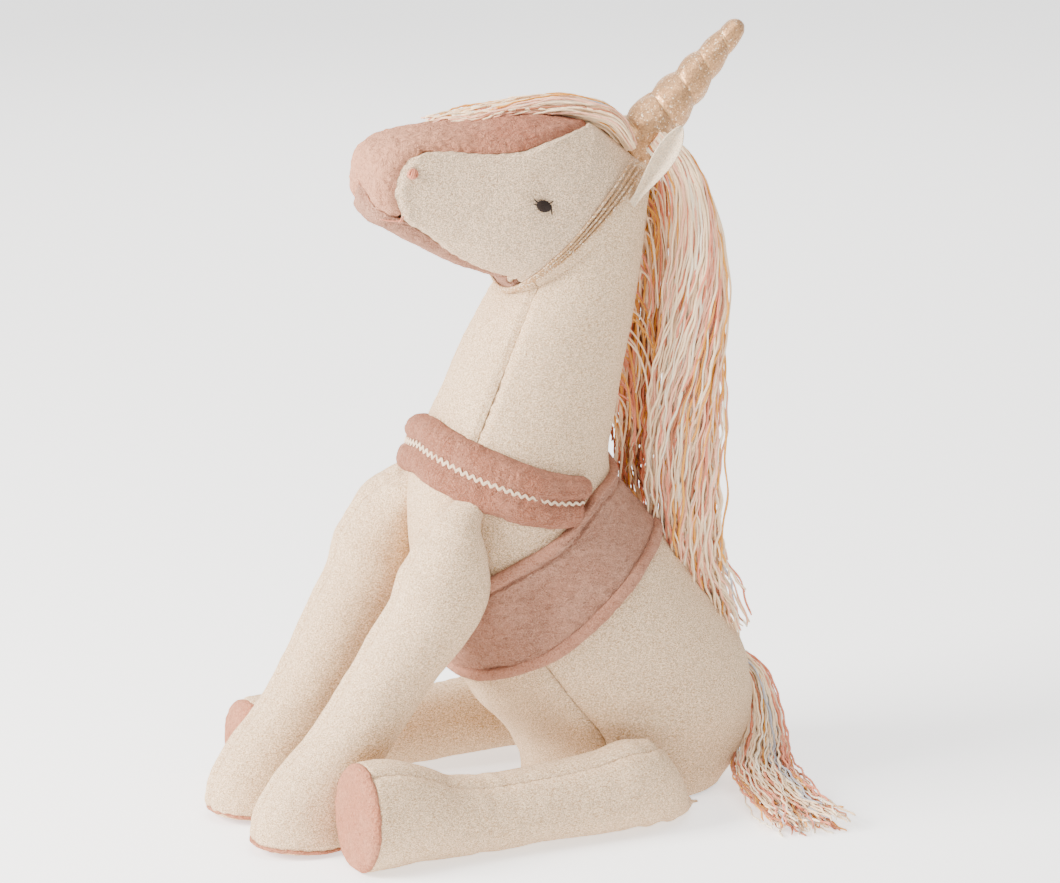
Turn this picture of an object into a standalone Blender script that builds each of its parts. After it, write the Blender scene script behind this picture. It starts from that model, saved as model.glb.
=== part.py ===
"""Sitting plush unicorn with a breast strap, a saddle cloth, a strapped-on horn and a yarn mane.

Frame: +Z up, the nose points to -Y, the unicorn's left side is +X, and the origin is the
centre of the flat seat on the floor. Metres. Every soft form is a loft along a spine of
stations (x, y, z, half width, half depth); covers are thin panels of it, fillings fit inside.
"""
import math

import bmesh
import bpy
from mathutils import Matrix, Vector

# ---- driving dimensions -------------------------------------------------------------
FABRIC = 0.0015            # thickness of a cover panel
AIR = 0.0005               # clearance between two pieces that touch on the real toy
SEAM_AIR = 0.0008          # half of the clearance between two panels that are sewn together
FILL = -(FABRIC + 2 * AIR)  # a filling stays this far inside the outer surface
LOOSE_FILL = -0.0045       # the torso and the head are wide, so their facets need more room
SEAT_RADIUS = 0.057
BELLY_SEAM = 37.0          # the chest gusset reaches this far, in degrees, each side of the front
CHIN_SEAM = 34.0
NOSE_SEAM = 46.0

NECK_TOP = Vector((0, -0.032, 0.376))            # centre of the seam between neck and head
NECK_NORMAL = Vector((0, -0.615, 0.788)).normalized()
NECK_ALONG = Vector((0, 0.788, 0.615)).normalized()   # from the throat to the poll
NECK_HALF_DEPTH = 0.0625
NECK_HALF_WIDTH = 0.044
NOD_AXIS = Vector((0, -0.0455, 0.312))           # the neck bends round this point
NOD_RADIUS = 0.0580        # of the round end of the upper neck, a ball about the nod axis
NOD_AIR = 0.0040           # room between that ball and the hollow end of the lower neck

SHOULDER = Vector((0.0525, -0.1525, 0.190))      # front leg hinge, left side
SHOULDER_RADIUS = 0.0235
HIP = Vector((0.0912, -0.002, 0.0272))           # hind leg hinge, left side
HIP_RADIUS = 0.0262
HORN_FOOT = Vector((0, 0.0135, 0.4275))
HORN_AXIS = Vector((0, 0.717, 0.697)).normalized()
HORN_LENGTH = 0.100
HORN_RADIUS = 0.0195
HORN_TURNS = 5

COLORS = {                  # base colour, roughness, metallic
    "wool_cream": ((0.78, 0.72, 0.64), 0.95, 0.0),
    "plush_pink": ((0.66, 0.42, 0.36), 0.9, 0.0),
    "filling": ((0.90, 0.90, 0.88), 1.0, 0.0),
    "yarn_cream": ((0.85, 0.78, 0.66), 0.9, 0.0),
    "lame_rose_gold": ((0.70, 0.48, 0.36), 0.35, 0.7),
    "cord_gold": ((0.72, 0.60, 0.42), 0.35, 0.8),
    "thread_brown": ((0.04, 0.025, 0.02), 0.6, 0.0),
    "thread_copper": ((0.55, 0.27, 0.20), 0.5, 0.0),
    "trim_cream": ((0.86, 0.80, 0.70), 0.9, 0.0),
}

# ---- stations: x, y, z, half width, half depth -------------------------------------
BODY_STATIONS = [
    (0, 0.002, 0.002, 0.0590, 0.0640),
    (0, 0.010, 0.026, 0.0630, 0.0750),
    (0, 0.004, 0.062, 0.0720, 0.0825),
    (0, -0.026, 0.105, 0.0730, 0.0815),
    (0, -0.055, 0.146, 0.0690, 0.0770),
    (0, -0.072, 0.182, 0.0635, 0.0710),
    (0, -0.077, 0.213, 0.0600, 0.0650),
    (0, -0.072, 0.242, 0.0550, 0.0585),
    (0, -0.062, 0.270, 0.0500, 0.0550),
    (0, -0.050, 0.299, 0.0470, 0.0540),
    (0, -0.041, 0.328, 0.0450, 0.0540),
]
BODY_LEANS = [(a,) for a in (0, 3, 13, 26, 30, 18, 0, -14, -21, -20, -18)]   # degrees, forwards
HEAD_STATIONS = [           # from the neck seam forward to the muzzle
    (0, -0.0580, 0.3975, 0.0460, 0.0560),
    (0, -0.0830, 0.4010, 0.0450, 0.0525),
    (0, -0.1080, 0.4045, 0.0405, 0.0475),
    (0, -0.1330, 0.4110, 0.0350, 0.0405),
    (0, -0.1560, 0.4165, 0.0310, 0.0335),
    (0, -0.1740, 0.4190, 0.0260, 0.0270),
    (0, -0.1850, 0.4195, 0.0175, 0.0180),
]
FRONT_LEG_STATIONS = [      # left leg, from below the shoulder ball to the foot
    (0.0500, -0.1690, 0.160, 0.0245, 0.0245),
    (0.0460, -0.1870, 0.128, 0.0250, 0.0245),
    (0.0420, -0.2050, 0.094, 0.0240, 0.0240),
    (0.0385, -0.2210, 0.060, 0.0235, 0.0250),
    (0.0365, -0.2335, 0.028, 0.0245, 0.0280),
    (0.0360, -0.2385, 0.010, 0.0258, 0.0300),
    (0.0360, -0.2395, 0.002, 0.0250, 0.0285),
]
HIND_LEG_STATIONS = [       # left leg, from the hip forward along the floor to the sole
    (0.0900, -0.0300, 0.0270, 0.0262, 0.0270),
    (0.0895, -0.0650, 0.0262, 0.0258, 0.0262),
    (0.0890, -0.1050, 0.0255, 0.0252, 0.0255),
    (0.0890, -0.1450, 0.0255, 0.0250, 0.0255),
    (0.0895, -0.1800, 0.0280, 0.0258, 0.0280),
    (0.0905, -0.2080, 0.0320, 0.0285, 0.0320),
    (0.0915, -0.2240, 0.0330, 0.0295, 0.0325),
]
TAIL_STATIONS = [
    (0.006, 0.0990, 0.0660, 0.0080, 0.0080),
    (0.020, 0.1060, 0.0560, 0.0120, 0.0110),
    (0.042, 0.1000, 0.0390, 0.0140, 0.0130),
    (0.066, 0.0940, 0.0230, 0.0160, 0.0130),
    (0.092, 0.0880, 0.0140, 0.0200, 0.0120),
    (0.118, 0.0860, 0.0105, 0.0210, 0.0090),
    (0.142, 0.0880, 0.0070, 0.0160, 0.0060),
]
NEAR_LOCK_STATIONS = [      # the long lock that hangs behind the neck on the left
    (0.024, 0.0300, 0.3860, 0.0070, 0.0080),
    (0.030, 0.0400, 0.3560, 0.0115, 0.0120),
    (0.031, 0.0480, 0.3160, 0.0130, 0.0130),
    (0.030, 0.0560, 0.2720, 0.0140, 0.0130),
    (0.028, 0.0640, 0.2260, 0.0140, 0.0125),
    (0.025, 0.0720, 0.1860, 0.0120, 0.0110),
    (0.021, 0.0840, 0.1500, 0.0090, 0.0080),
    (0.018, 0.0930, 0.1240, 0.0050, 0.0050),
]
FAR_LOCK_STATIONS = [       # the shorter lock on the other side of the crest
    (-0.020, 0.0280, 0.3800, 0.0070, 0.0080),
    (-0.026, 0.0360, 0.3450, 0.0110, 0.0110),
    (-0.028, 0.0400, 0.3050, 0.0120, 0.0115),
    (-0.028, 0.0440, 0.2600, 0.0120, 0.0110),
    (-0.026, 0.0500, 0.2200, 0.0100, 0.0095),
    (-0.022, 0.0600, 0.1850, 0.0060, 0.0060),
]
FORELOCK_STATIONS = [       # from the front of the horn over the forehead to the right
    (-0.004, -0.0080, 0.4560, 0.0060, 0.0040),
    (-0.008, -0.0320, 0.4615, 0.0100, 0.0050),
    (-0.012, -0.0580, 0.4635, 0.0120, 0.0052),
    (-0.017, -0.0850, 0.4620, 0.0110, 0.0045),
    (-0.022, -0.1120, 0.4580, 0.0060, 0.0030),
]


def collection(name):
    found = bpy.data.collections.new(name)
    bpy.context.scene.collection.children.link(found)
    return found


for old in list(bpy.data.objects):
    bpy.data.objects.remove(old, do_unlink=True)
PARTS = collection("plush_unicorn")


def material(name):
    if name in bpy.data.materials:
        return bpy.data.materials[name]
    color, roughness, metallic = COLORS[name]
    made = bpy.data.materials.new(name)
    made.use_nodes = True
    shader = made.node_tree.nodes["Principled BSDF"]
    shader.inputs["Base Color"].default_value = (*color, 1)
    shader.inputs["Roughness"].default_value = roughness
    shader.inputs["Metallic"].default_value = metallic
    return made


# ---- spline forms -------------------------------------------------------------------
def spline(rows, s):
    """Catmull-Rom value at s, where whole numbers are the rows themselves."""
    last = len(rows) - 1
    s = min(max(s, 0.0), float(last))
    i = min(int(s), last - 1)
    t = s - i
    before, here = rows[max(i - 1, 0)], rows[i]
    after, beyond = rows[i + 1], rows[min(i + 2, last)]
    return [0.5 * (2 * b + (c - a) * t + (2 * a - 5 * b + 4 * c - d) * t * t
                   + (3 * b - a - 3 * c + d) * t ** 3)
            for a, b, c, d in zip(before, here, after, beyond)]


class Form:
    """A soft body around a spine. Angle 0 is +X, and 90 is the side that the frame calls front."""

    def __init__(self, stations, start=None, end=None, leans=None, floor=False,
                 lobes=0, depth=0.0, twist=0.0):
        self.rows = stations
        self.leans = leans
        self.last = len(stations) - 1
        self.start, self.end, self.floor = start, end, floor
        self.lobes, self.depth, self.twist = lobes, depth, twist

    def tangent(self, s):
        if self.leans is not None:
            lean = math.radians(spline(self.leans, s)[0])
            return Vector((0, -math.sin(lean), math.cos(lean)))
        if self.start is not None and s <= 0:
            return self.start
        if self.end is not None and s >= self.last:
            return self.end
        step = 0.35
        ahead = Vector(spline(self.rows, s + step)[:3])
        behind = Vector(spline(self.rows, s - step)[:3])
        return (ahead - behind).normalized()

    def point(self, s, angle, offset=0.0):
        x, y, z, half_width, half_depth = spline(self.rows, s)
        along = self.tangent(s)
        side = Vector((1, 0, 0)) - along * along.x
        side.normalize()
        front = side.cross(along)
        a = math.radians(angle)
        swell = 1 - self.depth * (1 + math.cos(self.lobes * a + self.twist * s)) / 2
        found = (Vector((x, y, z)) + side * (half_width * swell + offset) * math.cos(a)
                 + front * (half_depth * swell + offset) * math.sin(a))
        if self.floor:
            found.z = max(found.z, -offset)
        return found


def neck_rim(angle, offset, air):
    """Where the neck's surface crosses the ball about the nod axis, below it: the bend line."""
    low, high = BEND_LOW_S, BEND_HIGH_S
    for _ in range(30):
        middle = (low + high) / 2
        outside = (BODY.point(middle, angle, offset) - NOD_AXIS).length > NOD_RADIUS + air
        low, high = (middle, high) if outside else (low, middle)
    return low


def body_point(s, angle, offset=0.0):
    """The torso and lower neck; past BEND_START_S the rows draw up to the bend line."""
    if s > BEND_START_S:
        rim = neck_rim(angle, offset, NOD_AIR)
        s = BEND_START_S + (rim - BEND_START_S) * min(s - BEND_START_S, 1.0)
    return BODY.point(s, angle, offset)


def head_point(s, angle, offset=0.0):
    """s = -1 is the bend line, 0 the neck seam, then the head's stations."""
    if s <= 1:
        a = math.radians(angle)
        seam = (NECK_TOP + Vector((1, 0, 0)) * (NECK_HALF_WIDTH + offset) * math.cos(a)
                - NECK_ALONG * (NECK_HALF_DEPTH + offset) * math.sin(a))
        if s <= 0:
            rim = BODY.point(neck_rim(angle, offset, 0.0), angle, offset)
            return seam.lerp(rim, -s)
        return seam.lerp(HEAD.point(0, angle, offset), s)
    return HEAD.point(s - 1, angle, offset)


def ball_rings(ring, radius):
    """Rings that carry a rim on over the ball about the nod axis, towards its lowest point."""
    middle = sum(ring, Vector()) / len(ring)
    pole = (middle - NOD_AXIS).normalized()
    found = []
    for share in (0.25, 0.5, 0.75, 0.93):
        found.append([NOD_AXIS + (p - NOD_AXIS).normalized().slerp(pole, share) * radius
                      for p in ring])
    return found


BODY = Form(BODY_STATIONS, leans=BODY_LEANS)
HEAD = Form(HEAD_STATIONS, start=Vector((0, -0.86, 0.51)).normalized(),
            end=Vector((0, -1, 0.02)).normalized())
BEND_LOW_S, BEND_HIGH_S = 7.3, 9.4              # the bend line lies between these
BEND_START_S = 7
NECK_S = BEND_START_S + 1                       # the torso's s at the hollow end of the neck
MUZZLE_S = HEAD.last + 1


# ---- mesh makers --------------------------------------------------------------------
def add_object(name, mesh, slot, smooth=True):
    made = bpy.data.objects.new(name, mesh)
    PARTS.objects.link(made)
    mesh.materials.append(material(slot))
    if smooth:
        mesh.shade_smooth()
        mesh.set_sharp_from_angle(angle=math.radians(50))
    return made


def grid_mesh(name, rows):
    """An open surface through rows of points."""
    mesh = bpy.data.meshes.new(name)
    build = bmesh.new()
    made = [[build.verts.new(p) for p in row] for row in rows]
    for low, high in zip(made, made[1:]):
        for i in range(len(low) - 1):
            build.faces.new((low[i], low[i + 1], high[i + 1], high[i]))
    build.to_mesh(mesh)
    build.free()
    return mesh


def face_out(mesh, inside):
    """Turn the open surface so that its faces look away from the point inside it."""
    build = bmesh.new()
    build.from_mesh(mesh)
    score = sum((f.calc_center_median() - inside).dot(f.normal) * f.calc_area() for f in build.faces)
    if score < 0:
        bmesh.ops.reverse_faces(build, faces=build.faces)
    build.to_mesh(mesh)
    build.free()


def close_up(build, mesh):
    """Finish a closed mesh with every face looking outwards."""
    bmesh.ops.recalc_face_normals(build, faces=build.faces)
    if build.calc_volume(signed=True) < 0:
        bmesh.ops.reverse_faces(build, faces=build.faces)
    build.to_mesh(mesh)
    build.free()


def panel(name, point, s_values, angles, slot, thickness=FABRIC, offset=0.0, inside=None):
    """A fabric panel: an open patch of a form, made solid inwards."""
    rows = []
    for s in s_values:
        limits = angles(s) if callable(angles) else angles
        rows.append([point(s, a, offset) for a in limits])
    mesh = grid_mesh(name, rows)
    if inside is None:
        points = [p for row in rows for p in row]
        inside = sum(points, Vector()) / len(points)
        middle = s_values[len(s_values) // 2]
        ring = [point(middle, a, offset) for a in (0, 90, 180, 270)]
        inside = sum(ring, Vector()) / 4
    face_out(mesh, inside)
    made = add_object(name, mesh, slot)
    solid = made.modifiers.new("fabric", "SOLIDIFY")
    solid.thickness = thickness
    solid.offset = -1
    return made


def weld(mesh):
    """Join the first and last columns of a grid that goes all the way round."""
    build = bmesh.new()
    build.from_mesh(mesh)
    bmesh.ops.remove_doubles(build, verts=build.verts, dist=1e-5)
    build.to_mesh(mesh)
    build.free()


def ring_solid(name, rings, slot):
    """A closed loft; each end is closed by a ladder between the ring's mirrored points."""
    mesh = bpy.data.meshes.new(name)
    build = bmesh.new()
    made = [[build.verts.new(p) for p in ring] for ring in rings]
    count = len(rings[0])
    for low, high in zip(made, made[1:]):
        for i in range(count):
            j = (i + 1) % count
            build.faces.new((low[i], low[j], high[j], high[i]))
    for ring in (made[0], made[-1]):
        for i in range(count // 2):
            rung = [ring[i], ring[i + 1], ring[count - i - 1], ring[(count - i) % count]]
            build.faces.new(list(dict.fromkeys(rung)))
    close_up(build, mesh)
    return add_object(name, mesh, slot)


def around(count):
    """Angles of a ring that starts at the front, so that the ladder's rungs run along X."""
    return [90 + 360 * i / count for i in range(count)]


def form_solid(name, point, s_values, angles, slot, offset=0.0):
    return ring_solid(name, [[point(s, a, offset) for a in angles] for s in s_values], slot)


def slab(name, point, lines, slot, inner, outer):
    """A closed pad on a form: lines of (s, angle) across it, with its inner and outer offsets."""
    count = len(lines[0])
    rings = []
    for line in lines:
        top = [point(s, a, outer(i / (count - 1))) for i, (s, a) in enumerate(line)]
        under = [point(s, a, inner) for s, a in line]
        rings.append(top + under[::-1])
    mesh = bpy.data.meshes.new(name)
    build = bmesh.new()
    made = [[build.verts.new(p) for p in ring] for ring in rings]
    size = len(rings[0])
    closed = (Vector(rings[0][0]) - Vector(rings[-1][0])).length < 1e-6
    if closed:
        for v in made.pop():
            build.verts.remove(v)
        pairs = list(zip(made, made[1:] + made[:1]))
    else:
        pairs = list(zip(made, made[1:]))
        for ring in (made[0], made[-1]):
            for i in range(count - 1):
                build.faces.new((ring[i], ring[i + 1], ring[size - i - 2], ring[size - i - 1]))
    for low, high in pairs:
        for i in range(size):
            j = (i + 1) % size
            build.faces.new((low[i], low[j], high[j], high[i]))
    close_up(build, mesh)
    return add_object(name, mesh, slot)


def steps(low, high, count):
    return [low + (high - low) * i / (count - 1) for i in range(count)]


def seam_angle(size):
    """Half a seam's clearance as an angle, on a form of this half width."""
    return math.degrees(SEAM_AIR / size)


# ---- torso and neck -----------------------------------------------------------------
def body_angles():
    """Half a ring, from the front seam over the left side to the back, shared by cover and core."""
    return [90, 72, 90 - BELLY_SEAM, 30, 8, -15, -40, -65, -90]


def body_ring():
    left = body_angles()
    return left + [180 - a for a in left[-2:0:-1]]


def make_body():
    gap = seam_angle(0.055)
    cover_s = list(range(NECK_S)) + [NECK_S - 0.5, NECK_S]
    left = [a for a in body_angles() if a <= 90 - BELLY_SEAM]
    left[0] -= gap
    left[-1] += gap
    panel("body_side_panel_left", body_point, cover_s, left, "wool_cream")
    panel("body_side_panel_right", body_point, cover_s, [180 - a for a in left], "wool_cream")
    half = [90 - BELLY_SEAM + gap, 72]
    front = half + [90] + [180 - a for a in half[::-1]]
    panel("chest_gusset", body_point, cover_s, front, "wool_cream")
    rings = [[body_point(s, a, LOOSE_FILL) for a in body_ring()] for s in cover_s]
    rings += ball_rings(rings[-1], NOD_RADIUS + NOD_AIR)
    ring_solid("body_stuffing", rings, "filling")
    seat = bmesh.new()
    bmesh.ops.create_cone(seat, cap_ends=True, segments=40, radius1=SEAT_RADIUS,
                          radius2=SEAT_RADIUS, depth=FABRIC)
    mesh = bpy.data.meshes.new("seat_panel")
    seat.to_mesh(mesh)
    seat.free()
    add_object("seat_panel", mesh, "wool_cream").location = (0, 0, FABRIC / 2)


# ---- head ---------------------------------------------------------------------------
def nose_half(s):
    """Half the angle of the nose gusset: it wraps round the muzzle towards its tip."""
    front = max(0.0, (s - 4.0) / (MUZZLE_S - 4.0))
    return NOSE_SEAM + 78 * front ** 1.6


def make_head():
    gap = seam_angle(0.036)

    def nose(s):
        half = nose_half(s) - gap
        return [-90 + half * k for k in (-1, -0.75, -0.5, -0.25, 0, 0.25, 0.5, 0.75, 1)]

    def cheek(side):
        def angles(s):
            low, high = -90 + nose_half(s) + gap, 90 - CHIN_SEAM - gap
            found = [low + (high - low) * k / 5 for k in range(6)]
            return found if side > 0 else [180 - a for a in found]
        return angles

    chin = [90 + (CHIN_SEAM - gap) * k for k in (-1, -0.5, 0, 0.5, 1)]
    stations = [0.06, 1, 2, 3, 4, 5, 6]
    inside = Vector((0, -0.09, 0.40))
    panel("cheek_panel_left", head_point, stations, cheek(1), "wool_cream", inside=inside)
    panel("cheek_panel_right", head_point, stations, cheek(-1), "wool_cream", inside=inside)
    panel("nose_gusset", head_point, stations + [MUZZLE_S], nose, "plush_pink", inside=inside)
    panel("chin_gusset", head_point, stations, chin, "plush_pink", inside=inside)
    sleeve = panel("upper_neck_cover", head_point, [-1, -0.67, -0.33, -0.06],
                   around(20) + [450], "wool_cream")
    weld(sleeve.data)
    core_s = [-1, -0.5, 0, 1, 2, 3, 4, 5, 6, MUZZLE_S]
    inset = [LOOSE_FILL * (1.5 if s > 5 else 1.0) for s in core_s]
    rings = [[head_point(s, a, gap) for a in around(20)] for s, gap in zip(core_s, inset)]
    rings = ball_rings(rings[0], NOD_RADIUS)[::-1] + rings
    ring_solid("head_stuffing", rings, "filling")


def lens(name, centre, normal, width, height, thickness, slot, roll=0.0):
    """A small domed patch of stitches, lying on the surface at centre."""
    build = bmesh.new()
    bmesh.ops.create_uvsphere(build, u_segments=12, v_segments=6, radius=1.0)
    turn = Vector((0, 0, 1)).rotation_difference(normal).to_matrix().to_4x4()
    shape = Matrix.Diagonal((width / 2, height / 2, thickness / 2, 1))
    place = Matrix.Translation(centre + normal * (thickness / 2 + 0.0006))
    bmesh.ops.transform(build, matrix=place @ turn @ Matrix.Rotation(roll, 4, "Z") @ shape,
                        verts=build.verts)
    mesh = bpy.data.meshes.new(name)
    build.to_mesh(mesh)
    build.free()
    return add_object(name, mesh, slot)


def head_normal(s, angle):
    here = head_point(s, angle)
    across = head_point(s, angle + 4) - head_point(s, angle - 4)
    along = head_point(s + 0.1, angle) - head_point(s - 0.1, angle)
    normal = across.cross(along).normalized()
    return normal if normal.dot(here - Vector((0, here.y, 0.405))) > 0 else -normal


def make_face():
    for side, tag in ((1, "left"), (-1, "right")):
        def turned(angle, side=side):
            return angle if side > 0 else 180 - angle
        for name, s, angle, size, slot in (
                ("eye", 1.62, -6, (0.0115, 0.0090, 0.0016), "thread_brown"),
                ("nostril", 5.15, -33, (0.0065, 0.0065, 0.0024), "thread_copper"),
                ("mouth_stitch", 5.55, 36, (0.0060, 0.0024, 0.0014), "thread_copper")):
            a = turned(angle)
            lens(f"{name}_{tag}", head_point(s, a), head_normal(s, a), *size, slot)


# ---- ears, horn and its elastic -------------------------------------------------------
EAR_ROOT = Vector((0.0385, -0.0100, 0.4290))
EAR_TIP = Vector((0.0560, 0.0190, 0.4730))
EAR_WIDTH = 0.0150


def make_ears():
    for side, tag in ((1, "left"), (-1, "right")):
        for layer, lift in (("outer", 0.0), ("inner", 0.0036)):
            root, tip = EAR_ROOT.copy(), EAR_TIP.copy()
            along = (tip - root)
            wide = Vector((0.25, -0.75, 0.4)).cross(along).normalized()
            facing = along.normalized().cross(wide)
            rows = []
            for t in (0.0, 0.15, 0.35, 0.6, 0.82, 0.97):
                half = EAR_WIDTH * (0.45 + 0.75 * math.sin(math.pi * min(t + 0.12, 1.0) ** 1.1))
                half *= 0.62
                row = []
                for u in (-1, -0.5, 0, 0.5, 1):
                    p = root + along * t + wide * half * u
                    p += facing * (0.0050 * u * u - lift)
                    row.append(Vector((p.x * side, p.y, p.z)))
                rows.append(row)
            mesh = grid_mesh(f"ear_{layer}_{tag}", rows)
            made = add_object(f"ear_{layer}_{tag}", mesh, "wool_cream")
            solid = made.modifiers.new("felt", "SOLIDIFY")
            solid.thickness = 0.0012
            solid.offset = 0


def horn_rings(grow, count, segments, cinch):
    """Rings of the horn: a cone cinched by a thread that winds round it."""
    across = HORN_AXIS.cross(Vector((1, 0, 0)))
    rings = []
    for i in range(count):
        t = i / (count - 1)
        radius = HORN_RADIUS * (1 - t) ** 0.85 * (1 - 0.05 * t) + 0.0016 + grow
        ring = []
        for k in range(segments):
            a = 2 * math.pi * k / segments
            wave = abs(math.sin(math.pi * HORN_TURNS * t - a / 2))
            r = radius * (1 - cinch * (1 - wave) * (1 - t * 0.4))
            ring.append(HORN_FOOT + HORN_AXIS * (HORN_LENGTH * t)
                        + Vector((1, 0, 0)) * r * math.cos(a) + across * r * math.sin(a))
        rings.append(ring)
    return rings


def make_horn():
    rings = horn_rings(0.0, 24, 14, 0.24)
    for ring in rings:
        ring.append(ring[0])
    mesh = grid_mesh("horn_cover", rings)
    build = bmesh.new()
    build.from_mesh(mesh)
    bmesh.ops.remove_doubles(build, verts=build.verts, dist=1e-5)
    tip = [e for e in build.edges if e.is_boundary
           and all((v.co - HORN_FOOT).dot(HORN_AXIS) > HORN_LENGTH * 0.95 for v in e.verts)]
    bmesh.ops.contextual_create(build, geom=tip)
    bmesh.ops.recalc_face_normals(build, faces=build.faces)
    build.to_mesh(mesh)
    build.free()
    face_out(mesh, HORN_FOOT + HORN_AXIS * HORN_LENGTH * 0.35)
    made = add_object("horn_cover", mesh, "lame_rose_gold")
    solid = made.modifiers.new("lame", "SOLIDIFY")
    solid.thickness = 0.0008
    solid.offset = -1
    core = horn_rings(-0.0050, 10, 14, 0.24)
    core = [[p + HORN_AXIS * 0.0004 for p in ring] for ring in core[:8]]
    ring_solid("horn_stuffing", core, "filling")
    base = bmesh.new()
    bmesh.ops.create_cone(base, cap_ends=True, segments=20, radius1=HORN_RADIUS + 0.0008,
                          radius2=HORN_RADIUS + 0.0008, depth=0.0012)
    turn = Vector((0, 0, 1)).rotation_difference(HORN_AXIS).to_matrix().to_4x4()
    place = Matrix.Translation(HORN_FOOT - HORN_AXIS * 0.0011)
    bmesh.ops.transform(base, matrix=place @ turn, verts=base.verts)
    mesh = bpy.data.meshes.new("horn_base")
    base.to_mesh(mesh)
    base.free()
    add_object("horn_base", mesh, "lame_rose_gold")


def make_elastic():
    """A flat band of four cords, from the horn's foot round the throat and back."""
    lines = []
    for angle in steps(-42, 222, 29):
        lines.append([(s, angle) for s in (0.30, 0.50, 0.70)])
    slab("horn_elastic", head_point, lines, "cord_gold", 0.0005, lambda v: 0.0021)


# ---- legs ---------------------------------------------------------------------------
def ball_stations(centre, radius, toward):
    """Stations of the round end of a leg, centred on its hinge."""
    found = []
    for polar in (28, 50, 72, 90):
        a = math.radians(polar)
        c = centre - toward * radius * math.cos(a)
        found.append((*c, radius * math.sin(a), radius * math.sin(a)))
    return found


def mirrored(stations, side):
    return [(x * side, y, z, w, d) for x, y, z, w, d in stations]


def make_leg(name, hinge, radius, stations, end, side):
    toward = (Vector(stations[0][:3]) - hinge).normalized()
    rows = mirrored(ball_stations(hinge, radius, toward) + stations, side)
    start = Vector((toward.x * side, toward.y, toward.z))
    end = Vector((end.x * side, end.y, end.z)).normalized()
    form = Form(rows, start=start, end=end, floor=True)
    s_values = [float(i) for i in range(form.last + 1)]
    gap = seam_angle(0.022)
    outer = [-90 + gap, -54, -18, 18, 54, 90 - gap]
    inner = [180 - a for a in outer]
    if side < 0:
        outer, inner = inner, outer
    tag = "left" if side > 0 else "right"
    panel(f"{name}_outer_panel_{tag}", form.point, s_values, outer, "wool_cream")
    panel(f"{name}_inner_panel_{tag}", form.point, s_values, inner, "wool_cream")
    core_angles = [90, 54, 18, -18, -54, -90, -126, -162, -198, -234]
    rings = [[form.point(s, a, FILL) for a in core_angles] for s in s_values]
    rings[-1] = [p - end * AIR for p in rings[-1]]
    ring_solid(f"{name}_stuffing_{tag}", rings, "filling")
    sole(f"{name}_sole_{tag}", form, end)


def sole(name, form, facing):
    """A thin plush disc over the end of a leg."""
    rows = [[], []]
    for a in around(20):
        rim = form.point(form.last, a, -0.0004)
        rows[0].append(rim + facing * AIR)
        rows[1].append(rim + facing * (AIR + FABRIC))
    for row in rows:
        for p in row:
            p.z = max(p.z, 0.0)
    ring_solid(name, rows, "plush_pink")


# ---- tack and hair ------------------------------------------------------------------
def strap_centre(angle):
    """Where the breast strap's middle line runs: low at the sides and high at the front."""
    rise = math.sin(math.radians(max(angle if angle <= 90 else 180 - angle, -20)))
    return 5.85 + 1.0 * rise


def make_strap():
    angles = steps(3, 177, 23)
    width = 0.58
    lines = [[(strap_centre(a) + width * v, a) for v in steps(-1, 1, 9)] for a in angles]

    def puff(v):
        return 0.0022 + 0.0085 * abs(math.sin(2 * math.pi * v)) ** 0.7
    slab("breast_strap", body_point, lines, "plush_pink", 0.0006, puff)
    zigzag = []
    for k, a in enumerate(steps(5, 175, 69)):
        s = strap_centre(a) + (0.035 if k % 2 else -0.035)
        zigzag.append([(s - 0.035, a), (s + 0.035, a)])
    slab("rickrack", body_point, zigzag, "trim_cream", 0.0062, lambda v: 0.0072)


def saddle_front(angle):
    back = max(0.0, -math.sin(math.radians(angle)))
    return 5.15 + 0.75 * back ** 1.5


def saddle_rear(angle):
    return 3.40 + 0.28 * math.sin(math.radians(angle))


def make_saddle():
    left = body_angles()
    angles = left + [-180 - a for a in left[-2::-1]]
    lines = []
    for a in angles:
        lines.append([(s, a) for s in steps(saddle_rear(a), saddle_front(a), 5)])
    slab("saddle", body_point, lines, "plush_pink", 0.0006, lambda v: 0.0021)
    for name, edge, step in (("saddle_front_binding", saddle_front, -0.16),
                             ("saddle_rear_binding", saddle_rear, 0.14)):
        strip = [[(edge(a), a), (edge(a) + step, a)] for a in angles]
        slab(name, body_point, strip, "plush_pink", 0.0027, lambda v: 0.0045)


def make_hair():
    crest = steps(6.1, 9.4, 6)
    lines = [[(s, a) for a in (-76, -83, -90, -97, -104)] for s in crest]

    def ridge(v):
        return 0.0060 + 0.0060 * math.sin(math.pi * v)
    slab("mane_crest", body_point, lines, "yarn_cream", 0.0052, ridge)
    ring = around(12)
    for name, stations in (("mane_near_lock", NEAR_LOCK_STATIONS),
                           ("mane_far_lock", FAR_LOCK_STATIONS),
                           ("forelock", FORELOCK_STATIONS), ("tail", TAIL_STATIONS)):
        form = Form(stations, floor=name == "tail", lobes=3, depth=0.16, twist=1.1)
        s_values = steps(0, form.last, 2 * form.last + 1)
        form_solid(name, form.point, s_values, ring, "yarn_cream")


make_body()
make_head()
make_face()
make_ears()
make_horn()
make_elastic()
for sign in (1, -1):
    make_leg("front_leg", SHOULDER, SHOULDER_RADIUS, FRONT_LEG_STATIONS, Vector((0, 0, -1)), sign)
    make_leg("hind_leg", HIP, HIP_RADIUS, HIND_LEG_STATIONS, Vector((0.13, -0.991, 0)), sign)
make_strap()
make_saddle()
make_hair()
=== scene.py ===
"""The looks of the plush unicorn: felt, plush, yarn, glitter cloth and stitching round the CAD frame.

Nose to -Y, left side to +X, +Z up, metres. Every soft form is a loft along stations close to those
of the frame's solids; what the loft adds is seams, puckers, pile, strands and thread.
"""
import math

import bmesh
import bpy
import numpy as np
from mathutils import Matrix, Vector


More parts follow.
